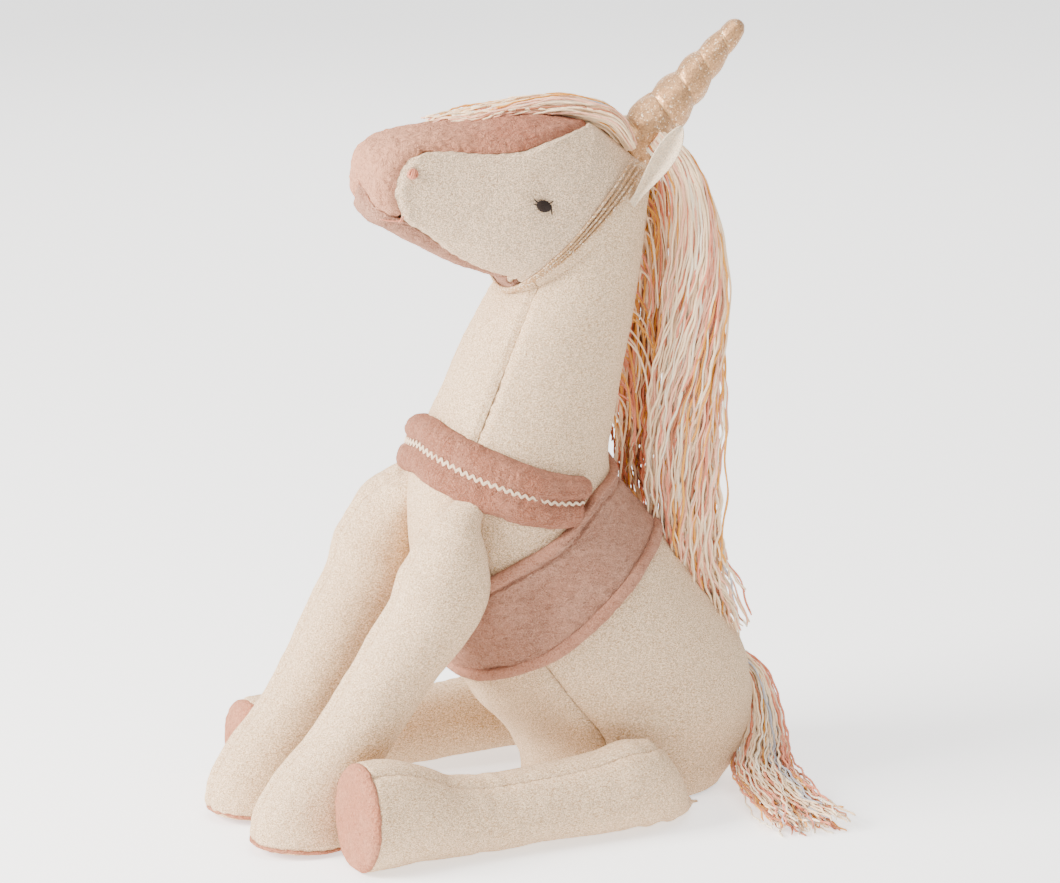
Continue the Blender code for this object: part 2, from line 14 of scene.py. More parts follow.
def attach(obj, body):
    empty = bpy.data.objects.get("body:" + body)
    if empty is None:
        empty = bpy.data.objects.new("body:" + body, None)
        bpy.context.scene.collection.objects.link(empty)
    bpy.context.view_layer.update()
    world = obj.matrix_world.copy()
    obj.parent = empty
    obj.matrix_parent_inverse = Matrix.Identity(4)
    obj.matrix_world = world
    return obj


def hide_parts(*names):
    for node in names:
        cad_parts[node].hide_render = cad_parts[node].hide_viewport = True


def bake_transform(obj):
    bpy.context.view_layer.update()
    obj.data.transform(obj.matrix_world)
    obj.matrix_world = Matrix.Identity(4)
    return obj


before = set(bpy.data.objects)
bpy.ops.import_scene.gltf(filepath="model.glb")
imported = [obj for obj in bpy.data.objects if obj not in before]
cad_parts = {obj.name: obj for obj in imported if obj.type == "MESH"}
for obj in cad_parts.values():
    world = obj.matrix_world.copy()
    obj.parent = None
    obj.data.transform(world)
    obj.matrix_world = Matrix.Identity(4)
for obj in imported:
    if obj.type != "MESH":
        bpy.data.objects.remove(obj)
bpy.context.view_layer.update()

SEED = 7
FABRIC = 0.0015             # the cloth's thickness
SOLE_THICKNESS, SOLE_CLEAR = 0.0018, 0.0004      # SOLE_CLEAR is a sole's least height off the floor
FLOOR_EASE = 0.004          # how high above the floor a form's underside starts to flatten
TORSO_TOP = 10.4            # the torso's s at the joint's ring between the neck and the head
NECK_START = 8.0            # the torso's s where the neck starts to turn towards that ring
SEAM_GAP = 0.15             # half of what is left open between two panels, in degrees
SIDES = ((1, "left"), (-1, "right"))

# ---- the stations of the soft forms: x, y, z, half width, half depth -------------------
BODY_ROWS = np.array([
    (0, 0.002, 0.002, 0.0600, 0.0640),
    (0, 0.010, 0.026, 0.0635, 0.0755),
    (0, 0.004, 0.062, 0.0720, 0.0830),
    (0, -0.026, 0.105, 0.0730, 0.0815),
    (0, -0.055, 0.146, 0.0690, 0.0770),
    (0, -0.072, 0.182, 0.0635, 0.0710),
    (0, -0.077, 0.213, 0.0600, 0.0650),
    (0, -0.072, 0.242, 0.0550, 0.0585),
    (0, -0.062, 0.270, 0.0500, 0.0550),
    (0, -0.050, 0.299, 0.0470, 0.0540),
    (0, -0.041, 0.328, 0.0450, 0.0540),
])
BODY_LEANS = np.array([0, 3, 13, 26, 30, 18, 0, -14, -21, -20, -18], float)
HEAD_ROWS = np.array([
    (0, -0.0580, 0.3980, 0.0460, 0.0555),
    (0, -0.0830, 0.4020, 0.0450, 0.0510),
    (0, -0.1080, 0.4060, 0.0405, 0.0455),
    (0, -0.1330, 0.4125, 0.0350, 0.0385),
    (0, -0.1550, 0.4170, 0.0305, 0.0320),
    (0, -0.1700, 0.4185, 0.0255, 0.0260),
    (0, -0.1790, 0.4190, 0.0175, 0.0180),
    (0, -0.1825, 0.4190, 0.0010, 0.0010),
])
NECK_TOP = np.array((0, -0.032, 0.376))
NECK_ALONG = np.array((0, 0.788, 0.615))
NECK_HALF_DEPTH, NECK_HALF_WIDTH = 0.0625, 0.0440
FRONT_LEG_ROWS = np.array([
    (0.0300, -0.1140, 0.2250, 0.0040, 0.0030),
    (0.0360, -0.1240, 0.2140, 0.0150, 0.0080),
    (0.0430, -0.1355, 0.2010, 0.0200, 0.0140),
    (0.0500, -0.1425, 0.1855, 0.0245, 0.0225),
    (0.0515, -0.1475, 0.1660, 0.0262, 0.0302),
    (0.0490, -0.1580, 0.1430, 0.0258, 0.0272),
    (0.0460, -0.1725, 0.1225, 0.0253, 0.0256),
    (0.0430, -0.1880, 0.0975, 0.0246, 0.0244),
    (0.0410, -0.2010, 0.0780, 0.0240, 0.0240),
    (0.0390, -0.2150, 0.0560, 0.0243, 0.0262),
    (0.0370, -0.2300, 0.0330, 0.0252, 0.0312),
    (0.0360, -0.2385, 0.0150, 0.0265, 0.0342),
    (0.0360, -0.2400, 0.0020, 0.0258, 0.0332),
])
HIND_LEG_ROWS = np.array([
    (0.0750, -0.0005, 0.0270, 0.0012, 0.0240),
    (0.0790, -0.0050, 0.0272, 0.0100, 0.0262),
    (0.0850, -0.0130, 0.0278, 0.0200, 0.0276),
    (0.0885, -0.0240, 0.0284, 0.0245, 0.0284),
    (0.0898, -0.0380, 0.0285, 0.0260, 0.0285),
    (0.0898, -0.0600, 0.0260, 0.0258, 0.0260),
    (0.0892, -0.0950, 0.0245, 0.0255, 0.0245),
    (0.0890, -0.1350, 0.0242, 0.0252, 0.0242),
    (0.0893, -0.1650, 0.0262, 0.0258, 0.0262),
    (0.0900, -0.1870, 0.0310, 0.0275, 0.0310),
    (0.0908, -0.2070, 0.0345, 0.0290, 0.0345),
    (0.0915, -0.2265, 0.0345, 0.0292, 0.0340),
])
HIND_LEG_HEIGHT = 0.0275    # the middle of the hind leg's rear end
HIND_END_SLANT = 0.76       # how far that end leans forward as it rises
FAR_FOOT_SQUASH = np.array((0.96, 0.90, 0.83, 0.81))     # the right hind foot lies flatter
# Where the seams run: s along the form against an angle round it, in degrees.
GUSSET_EDGE = ((0, 33), (3.6, 33), (5.2, 44), (6.6, 51), (7.8, 49), (8.8, 49), (9.6, 52), (12, 54))
NOSE_HALF = ((0, 2), (0.5, 4), (0.8, 7), (1.2, 24), (1.45, 37), (1.85, 47), (2.4, 50.5),
             (3.5, 50.5), (4.5, 47.5), (4.95, 48), (5.12, 62), (5.3, 110), (5.42, 130), (8, 130))
CHIN_HALF = ((0, 27), (0.5, 26), (1.5, 24), (2.3, 23), (2.9, 27), (3.9, 38), (4.5, 44), (5.4, 50),
             (8, 50))
CHEEK_FRONT = ((-60, 4.7), (-42, 4.95), (-36, 5.33), (-27, 5.58), (-17, 5.76), (-6, 5.86),
               (4, 5.88), (13, 5.83), (22, 5.68), (30, 5.47), (41, 5.37))
ELASTIC = ((-90, 0.02), (-60, 0.22), (-45, 0.31), (-20, 0.39), (0, 0.42), (18, 0.45), (34, 0.53),
           (51, 0.55), (66, 0.42), (77, 0.30), (90, 0.24))
HORN_FOOT, HORN_LENGTH, HORN_RADIUS, HORN_TURNS = np.array((0, 0.0135, 0.4275)), 0.100, 0.0195, 5
HORN_TIGHTEN = 1.10         # above 1, the horn's turns get closer together towards its tip
HORN_AXIS = np.array((0, 0.717, 0.697)) / math.hypot(0.717, 0.697)


# ---- numbers -----------------------------------------------------------------------------
def lattice(ix, iy, iz, seed):
    """A repeatable random number from -1 to 1 at each whole-numbered point."""
    h = (ix * 374761393 + iy * 668265263 + iz * 2147483647 + seed * 974634777) & 0xFFFFFFFF
    h = ((h ^ (h >> 13)) * 1274126177) & 0xFFFFFFFF
    h = h ^ (h >> 16)
    return h / 0x7FFFFFFF - 1.0


def noise(points, size, seed=0):
    """Smooth value noise from -1 to 1 at points, with lumps of the given size in metres."""
    q = np.asarray(points, float) / size
    base = np.floor(q).astype(np.int64)
    f = q - base
    f = f * f * (3 - 2 * f)
    total = 0.0
    for dx in (0, 1):
        for dy in (0, 1):
            for dz in (0, 1):
                w = ((f[..., 0] if dx else 1 - f[..., 0]) * (f[..., 1] if dy else 1 - f[..., 1])
                     * (f[..., 2] if dz else 1 - f[..., 2]))
                total = total + w * lattice(base[..., 0] + dx, base[..., 1] + dy,
                                            base[..., 2] + dz, seed + SEED)
    return total


def spline(rows, s):
    """Catmull-Rom values of the rows at every s."""
    rows = np.atleast_2d(rows.T).T
    last = len(rows) - 1
    s = np.clip(np.asarray(s, float), 0, last)
    i = np.minimum(s.astype(int), last - 1)
    t = (s - i)[..., None]
    a, b = rows[np.maximum(i - 1, 0)], rows[i]
    c, d = rows[i + 1], rows[np.minimum(i + 2, last)]
    return 0.5 * (2 * b + (c - a) * t + (2 * a - 5 * b + 4 * c - d) * t * t
                  + (3 * b - a - 3 * c + d) * t ** 3)


def unit(v):
    return v / np.maximum(np.linalg.norm(v, axis=-1, keepdims=True), 1e-12)


def smooth(t):
    t = np.clip(t, 0, 1)
    return t * t * (3 - 2 * t)


def span(a, b, n):
    return np.linspace(a, b, n)


def floats(*values):
    """The values as float arrays of one shape."""
    return np.broadcast_arrays(*(np.asarray(value, float) for value in values))


class Form:
    """A soft body round a spine. power above 2 makes its section boxier than an ellipse, start and
    end turn its first and last sections to face those ways, and floor flattens it on the floor."""

    def __init__(self, rows, leans=None, start=None, end=None, floor=False, power=2.0):
        self.rows, self.leans, self.start, self.end = rows, leans, start, end
        self.floor, self.power = floor, power
        self.last = len(rows) - 1

    def frame(self, s):
        """The section's own directions at s: to its left side and to its front."""
        if self.leans is not None:
            lean = np.radians(spline(self.leans[:, None], s)[..., 0])
            along = np.stack([0 * lean, -np.sin(lean), np.cos(lean)], -1)
        else:
            ahead = spline(self.rows, s + 0.35)[..., :3]
            along = unit(ahead - spline(self.rows, s - 0.35)[..., :3])
            for end, w in ((self.start, smooth(1 - s)), (self.end, smooth(s - self.last + 1))):
                if end is not None:
                    along = unit(along + (np.asarray(end) - along) * w[..., None])
        side = unit(np.array((1.0, 0, 0)) - along * along[..., :1])
        return side, np.cross(side, along)

    def points(self, s, angle, offset=0.0):
        s, angle = floats(s, angle)
        row = spline(self.rows, s)
        side, front = self.frame(s)
        a = np.radians(angle)
        c, d = np.cos(a), np.sin(a)
        k = (np.abs(c) ** self.power + np.abs(d) ** self.power) ** (-1 / self.power)
        found = (row[..., :3] + side * ((row[..., 3] + offset) * c * k)[..., None]
                 + front * ((row[..., 4] + offset) * d * k)[..., None])
        if self.floor:
            z = found[..., 2] + offset
            eased = FLOOR_EASE * np.exp(np.minimum(z / FLOOR_EASE - 1, 0))
            found[..., 2] = np.where(z < FLOOR_EASE, eased, z) - offset
        return found


BODY = Form(BODY_ROWS, leans=BODY_LEANS, power=2.15)
HEAD = Form(HEAD_ROWS, start=(0, -0.86, 0.51), end=(0, -1, 0.02), power=2.75)


def seam_ring(angle, offset):
    a = np.radians(angle)
    across = np.zeros(a.shape + (3,))
    across[..., 0] = (NECK_HALF_WIDTH + offset) * np.cos(a)
    return NECK_TOP + across - NECK_ALONG * ((NECK_HALF_DEPTH + offset) * np.sin(a))[..., None]


def keyed(keys, x):
    """A smooth curve through key pairs, close to straight between them."""
    keys = np.array(keys, float)
    x = np.asarray(x, float)
    reach = 0.02 * (keys[-1, 0] - keys[0, 0])
    return sum(np.interp(x + reach * k, keys[:, 0], keys[:, 1]) for k in (-1, 0, 1)) / 3


def on_side(angle, side):
    """An angle on the left side, or its mirror image on the right."""
    return angle if side > 0 else 180 - angle


def left_angle(angle):
    """The same place on the left side, from -90 at the top or back to 90 at the front."""
    turned = (np.asarray(angle, float) + 90) % 360 - 90
    return np.where(turned > 90, 180 - turned, turned)


def torso_points(s, angle, offset=0.0):
    """The torso and neck, and past TORSO_TOP the back of the head that the neck's cloth covers."""
    s, angle, offset = floats(s, angle, offset)
    up = np.clip((s - NECK_START) / (TORSO_TOP - NECK_START), 0, 1)
    body = BODY.points(np.minimum(s, NECK_START) + 1.5 * up, angle, offset)
    w = smooth(up)[..., None]
    found = body * (1 - w) + seam_ring(angle, offset) * w
    past = head_points(np.maximum(s - TORSO_TOP, 0), angle, offset)
    return np.where((s > TORSO_TOP)[..., None], past, found)


def head_points(s, angle, offset=0.0):
    """s = 0 is the neck seam, and 1 the head's first station."""
    s, angle, offset = floats(s, angle, offset)
    w = np.clip(s, 0, 1)[..., None]
    front = HEAD.points(np.maximum(s - 1, 0), angle, offset)
    return seam_ring(angle, offset) * (1 - w) + front * w


# ---- meshes --------------------------------------------------------------------------------
def mesh_object(name, verts, faces, material, body=None):
    mesh = bpy.data.meshes.new(name)
    mesh.from_pydata([tuple(v) for v in verts], [], [tuple(f) for f in faces])
    mesh.materials.append(material)
    mesh.shade_smooth()
    made = bpy.data.objects.new(name, mesh)
    bpy.context.scene.collection.objects.link(made)
    if body:
        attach(made, body)
    return made


STRAND_SIDE = np.array((0.31, 0.83, 0.47))      # a way that strands hardly ever run


def closed_object(name, verts, faces, material, body=None):
    """A mesh object without open edges, its faces turned outwards."""
    made = mesh_object(name, verts, faces, material, body)
    build = bmesh.new()
    build.from_mesh(made.data)
    bmesh.ops.recalc_face_normals(build, faces=build.faces)
    if build.calc_volume(signed=True) < 0:
        bmesh.ops.reverse_faces(build, faces=build.faces)
    build.to_mesh(made.data)
    build.free()
    made.data.shade_smooth()
    return made


def grid_faces(rows, columns, closed=False):
    """The quads of a grid of points; closed joins its last column to its first."""
    i, j = np.meshgrid(np.arange(rows - 1), np.arange(columns if closed else columns - 1),
                       indexing="ij")
    k = (j + 1) % columns
    return np.stack([i * columns + j, i * columns + k, (i + 1) * columns + k,
                     (i + 1) * columns + j], -1).reshape(-1, 4)


def layered(name, top, under, material, body=None, closed=False):
    """Two grids of points as one sheet of cloth, joined along their open edges."""
    rows, columns = top.shape[:2]
    n = rows * columns
    index = np.arange(n).reshape(rows, columns)
    edges = [index[0], index[-1]] if closed else [index[0], index[-1], index[:, 0], index[:, -1]]
    faces = list(grid_faces(rows, columns, closed))
    faces += list(grid_faces(rows, columns, closed)[:, ::-1] + n)
    for edge in edges:
        after = np.roll(edge, -1)
        pairs = list(zip(edge, after)) if closed else list(zip(edge, after))[:-1]
        faces += [(a, b, b + n, a + n) for a, b in pairs]
    verts = np.concatenate([top.reshape(-1, 3), under.reshape(-1, 3)])
    return closed_object(name, verts, faces, material, body)


def fan_cap(columns, n):
    """Faces from a grid's first row down to a copy of it that starts at n, and on to its middle."""
    faces = []
    for j in range(columns):
        k = (j + 1) % columns
        faces += [(j, k, n + k, n + j), (n + j, n + k, n + columns)]
    return faces


def away_from(centre, p):
    """Unit normals of a grid of points, turned away from centre."""
    normal = unit(np.cross(np.gradient(p, axis=1), np.gradient(p, axis=0)))
    return normal * np.sign(((p - centre) * normal).sum(-1).sum())


def gone_along(p):
    """The distance in metres from the first point of each column of points."""
    step = np.linalg.norm(np.diff(p, axis=0), axis=-1)
    return np.concatenate([np.zeros_like(step[:1]), np.cumsum(step, 0)], 0)


def edge_lengths(p):
    """Distances in metres from each grid point to the first and last column and row."""
    left, low = gone_along(p.swapaxes(0, 1)).T, gone_along(p)
    return left, left[:, -1:] - left, low, low[-1:] - low


def seam_relief(distance, along, seed, depth=0.0017, width=0.0034, pucker=0.00035):
    """Height near a sewn edge: a rounded roll that dives into the seam, with small puckers."""
    dive = -depth * np.exp(-(distance / width) ** 1.6)
    roll = 0.0004 * np.exp(-((distance - 0.006) / 0.0035) ** 2)
    phase = along / 0.0085 * 2 * np.pi
    wave = np.sin(phase + 2.5 * np.sin(along / 0.031 + seed)) * np.exp(-distance / 0.0060)
    return dive + roll + pucker * wave * np.exp(-(distance - 0.004) ** 2 / 0.0001)


def felt_relief(p, lumps=1.0, seed=0):
    """Stuffing lumps under the cloth, and the cloth's own unevenness."""
    return lumps * (0.0011 * noise(p, 0.045, seed) + 0.00050 * noise(p, 0.017, seed + 1)
                    + 0.00022 * noise(p, 0.0075, seed + 2)) + 0.00008 * noise(p, 0.0024, seed + 3)


def pile_relief(p, lumps=1.0, seed=0):
    """Short plush pile: clumps a few millimetres across that stand at different heights."""
    return (lumps * 0.0007 * noise(p, 0.022, seed) + 0.00044 * noise(p, 0.0075, seed + 1)
            + 0.00040 * noise(p, 0.0038, seed + 2) + 0.00024 * noise(p, 0.0019, seed + 3))


def cover(name, points, s, angle, material, body, seams="lrbt", relief=felt_relief,
          offset=0.0, seed=0, depth=0.0017, extra=None, nodes=()):
    """One panel of cloth: a grid on a form, raised by its relief, turned in at its sewn edges
    (l and r are its first and last column, b and t its first and last row)."""
    base = points(s, angle, offset)
    left, right, low, high = edge_lengths(base)
    height = relief(base, 1.0, seed)
    for letter, distance, along in (("l", left, low), ("r", right, low),
                                    ("b", low, left), ("t", high, left)):
        if letter in seams:
            height = height + seam_relief(distance, along, seed + ord(letter), depth)
    if extra is not None:
        height = height + extra(base, s, angle)
    normal = away_from((base + points(s, angle + 180, offset)) / 2, base)
    top = base + normal * height[..., None]
    made = layered(name, top, top - normal * FABRIC, material, body)
    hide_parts(*nodes)
    return made


def strands(name, paths, radius, material, body=None, sides=6, ply=0.30, pitch=0.0055):
    """Many strands as one mesh: closed tubes whose section is two-lobed and turns as it goes."""
    verts, faces, start = [], [], 0
    theta = np.arange(sides) * 2 * np.pi / sides
    for index, path in enumerate(paths):
        r = radius[index] if isinstance(radius, list) else radius
        tangent = unit(np.gradient(path, axis=0))
        side = unit(np.cross(tangent, STRAND_SIDE))
        up = np.cross(tangent, side)
        turn = (gone_along(path) / pitch * np.pi + index * 1.7)[:, None]
        wide = r * (1 - ply * 0.5 * (1 - np.cos(2 * (theta[None] - turn))))
        wide[-1] *= 0.7
        ring = (path[:, None] + side[:, None] * (wide * np.cos(theta))[..., None]
                + up[:, None] * (wide * np.sin(theta))[..., None])
        verts.append(ring.reshape(-1, 3))
        end = start + len(path) * sides
        faces += list(grid_faces(len(path), sides, closed=True) + start)
        faces += [range(start, start + sides)[::-1], range(end - sides, end)]
        start = end
    return mesh_object(name, np.concatenate(verts), faces, material, body)


# ---- materials -------------------------------------------------------------------------------
class Nodes:
    """A small helper for wiring one material's nodes."""

    def __init__(self, name, roughness, metallic=0.0, sheen=0.0, sheen_tint=(1, 1, 1),
                 sheen_roughness=0.5, specular=0.3):
        self.material = bpy.data.materials.new(name)
        self.material.use_nodes = True
        self.tree = self.material.node_tree
        self.shader = self.tree.nodes["Principled BSDF"]
        self.set(self.shader, {"Roughness": roughness, "Metallic": metallic,
                               "Sheen Weight": sheen, "Sheen Tint": (*sheen_tint, 1),
                               "Sheen Roughness": sheen_roughness,
                               "Specular IOR Level": specular})
        self.where = self.tree.nodes.new("ShaderNodeTexCoord").outputs["Object"]

    def link(self, a, b):
        self.tree.links.new(a, b)

    def set(self, node, values):
        """Sets a node's sockets, or links them where the value is another node's output."""
        for key, value in values.items():
            if hasattr(value, "links"):
                self.link(value, node.inputs[key])
            else:
                node.inputs[key].default_value = value

    def node(self, kind, **values):
        """A new node with its sockets set; an underscore stands for a space in their names."""
        made = self.tree.nodes.new(f"ShaderNode{kind}")
        self.set(made, {key.replace("_", " "): value for key, value in values.items()})
        return made

    def mapped(self, scale, turn):
        return self.node("Mapping", Scale=scale, Rotation=turn, Vector=self.where).outputs[0]

    def noise(self, scale, detail=2.0, rough=0.5, vector=None, distortion=0.0):
        return self.node("TexNoise", Scale=scale, Detail=detail, Roughness=rough,
                         Distortion=distortion, Vector=vector or self.where).outputs["Fac"]

    def cells(self, scale, output="Distance"):
        return self.node("TexVoronoi", Scale=scale, Vector=self.where).outputs[output]

    def along(self, axis, start, end):
        """0 before start and 1 past end, along one axis of the object."""
        split = self.node("SeparateXYZ", Vector=self.where)
        made = self.node("MapRange", Value=split.outputs[axis], From_Min=start, From_Max=end)
        made.interpolation_type = "SMOOTHSTEP"
        return made.outputs["Result"]

    def ramp(self, value, stops):
        """A value turned into grey levels at the given stops."""
        made = self.node("ValToRGB", Fac=value)
        for element, (at, grey) in zip(made.color_ramp.elements, stops):
            element.position = at
            element.color = (grey, grey, grey, 1)
        return made.outputs["Color"]

    def mix(self, a, b, factor):
        made = self.node("Mix")
        made.data_type = "RGBA"
        sockets = {socket.identifier: socket for socket in made.inputs}
        for key, value in (("Factor_Float", factor), ("A_Color", a), ("B_Color", b)):
            if hasattr(value, "links"):
                self.link(value, sockets[key])
            else:
                sockets[key].default_value = (*value, 1)
        return next(x for x in made.outputs if x.identifier == "Result_Color")

    def speckle(self, color, tone, value, low, high, amount):
        """Mixes in tone, from none where value is below low to amount where it is above high."""
        return self.mix(color, tone, self.ramp(value, [(low, 0.0), (high, amount)]))

    def sum(self, parts):
        """A weighted sum of values, for bump heights."""
        total = 0.0
        for value, weight in parts:
            made = self.node("Math")
            made.operation = "MULTIPLY_ADD"
            self.set(made, {0: value, 1: weight, 2: total})
            total = made.outputs[0]
        return total

    def finish(self, color, height=None, distance=0.0004, roughness=None):
        self.set(self.shader, {"Base Color": color if hasattr(color, "links") else (*color, 1)})
        if height is not None:
            bump = self.node("Bump", Strength=1.0, Distance=distance, Height=height)
            self.link(bump.outputs["Normal"], self.shader.inputs["Normal"])
        if roughness is not None:
            self.link(roughness, self.shader.inputs["Roughness"])
        return self.material


def shade(color, by, more=0.0):
    """A colour made darker or lighter, no part of it above 1."""
    return tuple(min(1.0, part * by + more) for part in color)


# How each layer of felt's fibres is turned, and how it is drawn out.
FIBRES = (((0.3, 0.2, 0.1), (1, 0.30, 0.7)), ((1.2, 0.5, 0.9), (0.28, 1, 0.8)),
          ((0.6, 1.3, 2.1), (0.9, 0.7, 0.27)), ((2.0, 0.2, 1.4), (0.7, 0.3, 1)))


def felt(name, base, warm, cool):
    """Felted cloth: short fibres of three tones that lie in several directions."""
    m = Nodes(name, roughness=0.97, sheen=0.08, sheen_tint=(1, 0.95, 0.88), specular=0.06)
    fibres = [m.noise(1900, 1.5, 0.6, m.mapped(stretch, turn)) for turn, stretch in FIBRES]
    dark = shade(warm, 0.55)
    color = m.speckle(base, cool, m.noise(38, 3, 0.6), 0.38, 0.78, 0.22)
    color = m.speckle(color, shade(base, 1.20), m.noise(1450, 2, 0.7), 0.45, 0.55, 0.95)
    for k, fibre in enumerate(fibres):
        color = m.speckle(color, warm if k % 2 else cool, fibre, 0.53, 0.63, 0.90)
    color = m.speckle(color, dark, m.noise(1350, 2, 0.7), 0.56, 0.66, 0.85)
    color = m.mix(color, dark, m.ramp(m.cells(260), [(0.02, 0.35), (0.06, 0.0)]))
    height = m.sum([(fibres[0], 0.6), (fibres[1], 0.6), (fibres[2], 0.5),
                    (m.noise(1400, 3, 0.7), 1.0), (m.noise(420, 2, 0.5), 0.4)])
    return m.finish(color, height, 0.00045)


def plush(name, base, deep, light, bump=0.0038, front=None):
    """Short pile brushed into fine streaks. front is a paler colour it fades to at the nose."""
    m = Nodes(name, roughness=0.95, sheen=0.16, sheen_tint=(1.0, 0.74, 0.60),
              sheen_roughness=0.4, specular=0.06)
    color = m.mix(base, front, m.along(1, -0.085, -0.165)) if front else base
    color = m.speckle(color, light, m.noise(48, 2, 0.55, distortion=0.5), 0.40, 0.72, 0.42)
    streaks = m.noise(430, 2.5, 0.65, m.mapped((1, 0.42, 0.85), (0.5, 0.3, 0.8)), 0.5)
    color = m.speckle(color, deep, streaks, 0.46, 0.68, 0.50)
    color = m.speckle(color, light, m.noise(1100, 2, 0.7), 0.48, 0.64, 0.62)
    color = m.speckle(color, deep, m.noise(900, 2, 0.7), 0.54, 0.70, 0.50)
    height = m.sum([(m.noise(260, 3, 0.6), 0.9), (streaks, -0.9), (m.noise(1100, 2, 0.7), 0.7)])
    return m.finish(color, height, bump)


def yarn(name, base):
    m = Nodes(name, roughness=0.82, sheen=0.35, sheen_tint=(1, 0.95, 0.9), specular=0.25)
    color = m.speckle(base, shade(base, 0.52), m.noise(420, 3, 0.7), 0.50, 0.75, 0.4)
    color = m.speckle(color, shade(base, 1.12, 0.02), m.noise(1300, 2, 0.6), 0.50, 0.70, 0.7)
    height = m.sum([(m.noise(2100, 2, 0.7), 1.0), (m.noise(800, 2, 0.6), 0.5)])
    return m.finish(color, height, 0.00022)


def glitter(name):
    """Woven rose-gold cloth with a foil that catches the light grain by grain."""
    m = Nodes(name, roughness=0.42, metallic=0.72, sheen=0.15, specular=0.5)
    split = m.node("SeparateColor", Color=m.cells(1250, "Color"))
    red, green, blue = (split.outputs[key] for key in ("Red", "Green", "Blue"))
    color = m.speckle((0.40, 0.205, 0.088), (0.66, 0.375, 0.175), red, 0.1, 0.95, 1.0)
    # painted glints: a few grains turned a pale, near-white gold, standing in for the foil catching
    # the light
    color = m.speckle(color, (1.0, 0.84, 0.60), green, 0.93, 0.97, 0.9)
    color = m.speckle(color, (0.34, 0.20, 0.14), m.noise(1400, 2, 0.7), 0.56, 0.68, 0.6)
    height = m.sum([(blue, 0.7), (m.noise(1500, 2, 0.6), 0.6)])
    return m.finish(color, height, 0.00028, m.ramp(blue, [(0.0, 0.28), (1.0, 0.62)]))


def thread(name, base, metallic=0.0, roughness=0.5, painted_glint=None, sheen=0.2, specular=0.45):
    """Sewing thread. A glint colour, when given, paints bright spots as glints on its foil,
    with darker patches of painted shade among them.
    """
    m = Nodes(name, roughness=roughness, metallic=metallic, sheen=sheen, specular=specular)
    dark = shade(base, 0.6)
    color = m.speckle(base, dark, m.noise(1900, 2, 0.7), 0.42, 0.68, 0.8)
    if painted_glint:
        # painted glints: bright spots of the glint colour on the foil
        color = m.speckle(color, painted_glint, m.noise(760, 2, 0.8), 0.54, 0.62, 0.9)
        # painted shade: darker patches for the grooves of the cord's twist
        color = m.speckle(color, dark, m.noise(620, 2, 0.6), 0.58, 0.68, 0.8)
    return m.finish(color, m.noise(2600, 2, 0.7), 0.00012)


def floor_material():
    m = Nodes("pale_floor", roughness=0.9, specular=0.1)
    m.set(m.shader, {"Emission Color": (1, 1, 1, 1), "Emission Strength": 1.15})
    return m.finish((0.90, 0.90, 0.90))


FELT = felt("oatmeal_felt_cloth", (0.92, 0.665, 0.440), (0.50, 0.290, 0.145), (0.60, 0.44, 0.29))
# The head's felt is the body's oatmeal felt made darker and greyer: painted shade of the head's side,
# which lies in slight shadow.
SHADED_HEAD_FELT = felt("oatmeal_felt_with_painted_shade", (0.87, 0.640, 0.435), (0.45, 0.285, 0.165),
                 (0.50, 0.385, 0.275))
FELT_PALE = felt("pale_ear_felt", (0.90, 0.700, 0.500), (0.66, 0.48, 0.31), (0.70, 0.60, 0.48))
PINK = plush("dusty_pink_plush", (0.475, 0.222, 0.145), (0.215, 0.088, 0.054),
             (0.74, 0.415, 0.290))
PINK_PALE = plush("pale_dusty_pink_plush", (0.470, 0.165, 0.095), (0.255, 0.080, 0.045),
                  (0.78, 0.380, 0.245), front=(0.82, 0.390, 0.240))
SOLE_PINK = plush("sole_pink_plush", (0.640, 0.240, 0.135), (0.330, 0.105, 0.055),
                  (0.86, 0.430, 0.275))
STRAP_PINK = plush("strap_pink_plush", (0.400, 0.150, 0.088), (0.190, 0.062, 0.034),
                   (0.66, 0.315, 0.205))
BINDING = plush("dusty_pink_binding", (0.460, 0.205, 0.130), (0.230, 0.088, 0.052),
                (0.68, 0.365, 0.250), bump=0.0024)
GLITTER = glitter("rose_gold_glitter")
GOLD = thread("gold_thread", (0.66, 0.45, 0.22), metallic=0.6, roughness=0.42)
CORD = thread("gold_elastic_thread", (0.52, 0.290, 0.120), metallic=0.30, roughness=0.42,
              painted_glint=(1.0, 0.88, 0.70))
DARK = thread("dark_brown_thread", (0.020, 0.010, 0.006), roughness=0.55, sheen=0.0,
              specular=0.25)
COPPER = thread("copper_thread", (0.62, 0.200, 0.105), roughness=0.5)
TRIM = yarn("cream_trim_braid", (0.74, 0.56, 0.38))
YARNS = {key: yarn(f"{name}_yarn", color) for key, name, color in (
    ("cream", "cream", (1.0, 0.735, 0.470)), ("white", "pale", (1.0, 0.85, 0.65)),
    ("peach", "peach", (0.96, 0.500, 0.330)), ("ochre", "ochre", (0.76, 0.33, 0.045)),
    ("salmon", "salmon", (0.80, 0.27, 0.155)), ("blue", "blue_grey", (0.50, 0.51, 0.56)),
    ("rust", "rust", (0.47, 0.155, 0.065)))}


def bend_at_neck(made):
    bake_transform(made)
    return made


def crease(base, foot, end, depth, width):
    """A fold in the cloth along the line from foot to end, deepest in its middle."""
    d = np.array(end) - foot
    t = np.clip(((base - foot) @ d) / (d @ d), 0, 1)
    away = np.linalg.norm(base - (foot + d * t[..., None]), axis=-1)
    return -depth * np.sin(np.pi * np.clip(t, 0.02, 0.98)) ** 0.6 * np.exp(-(away / width) ** 2)


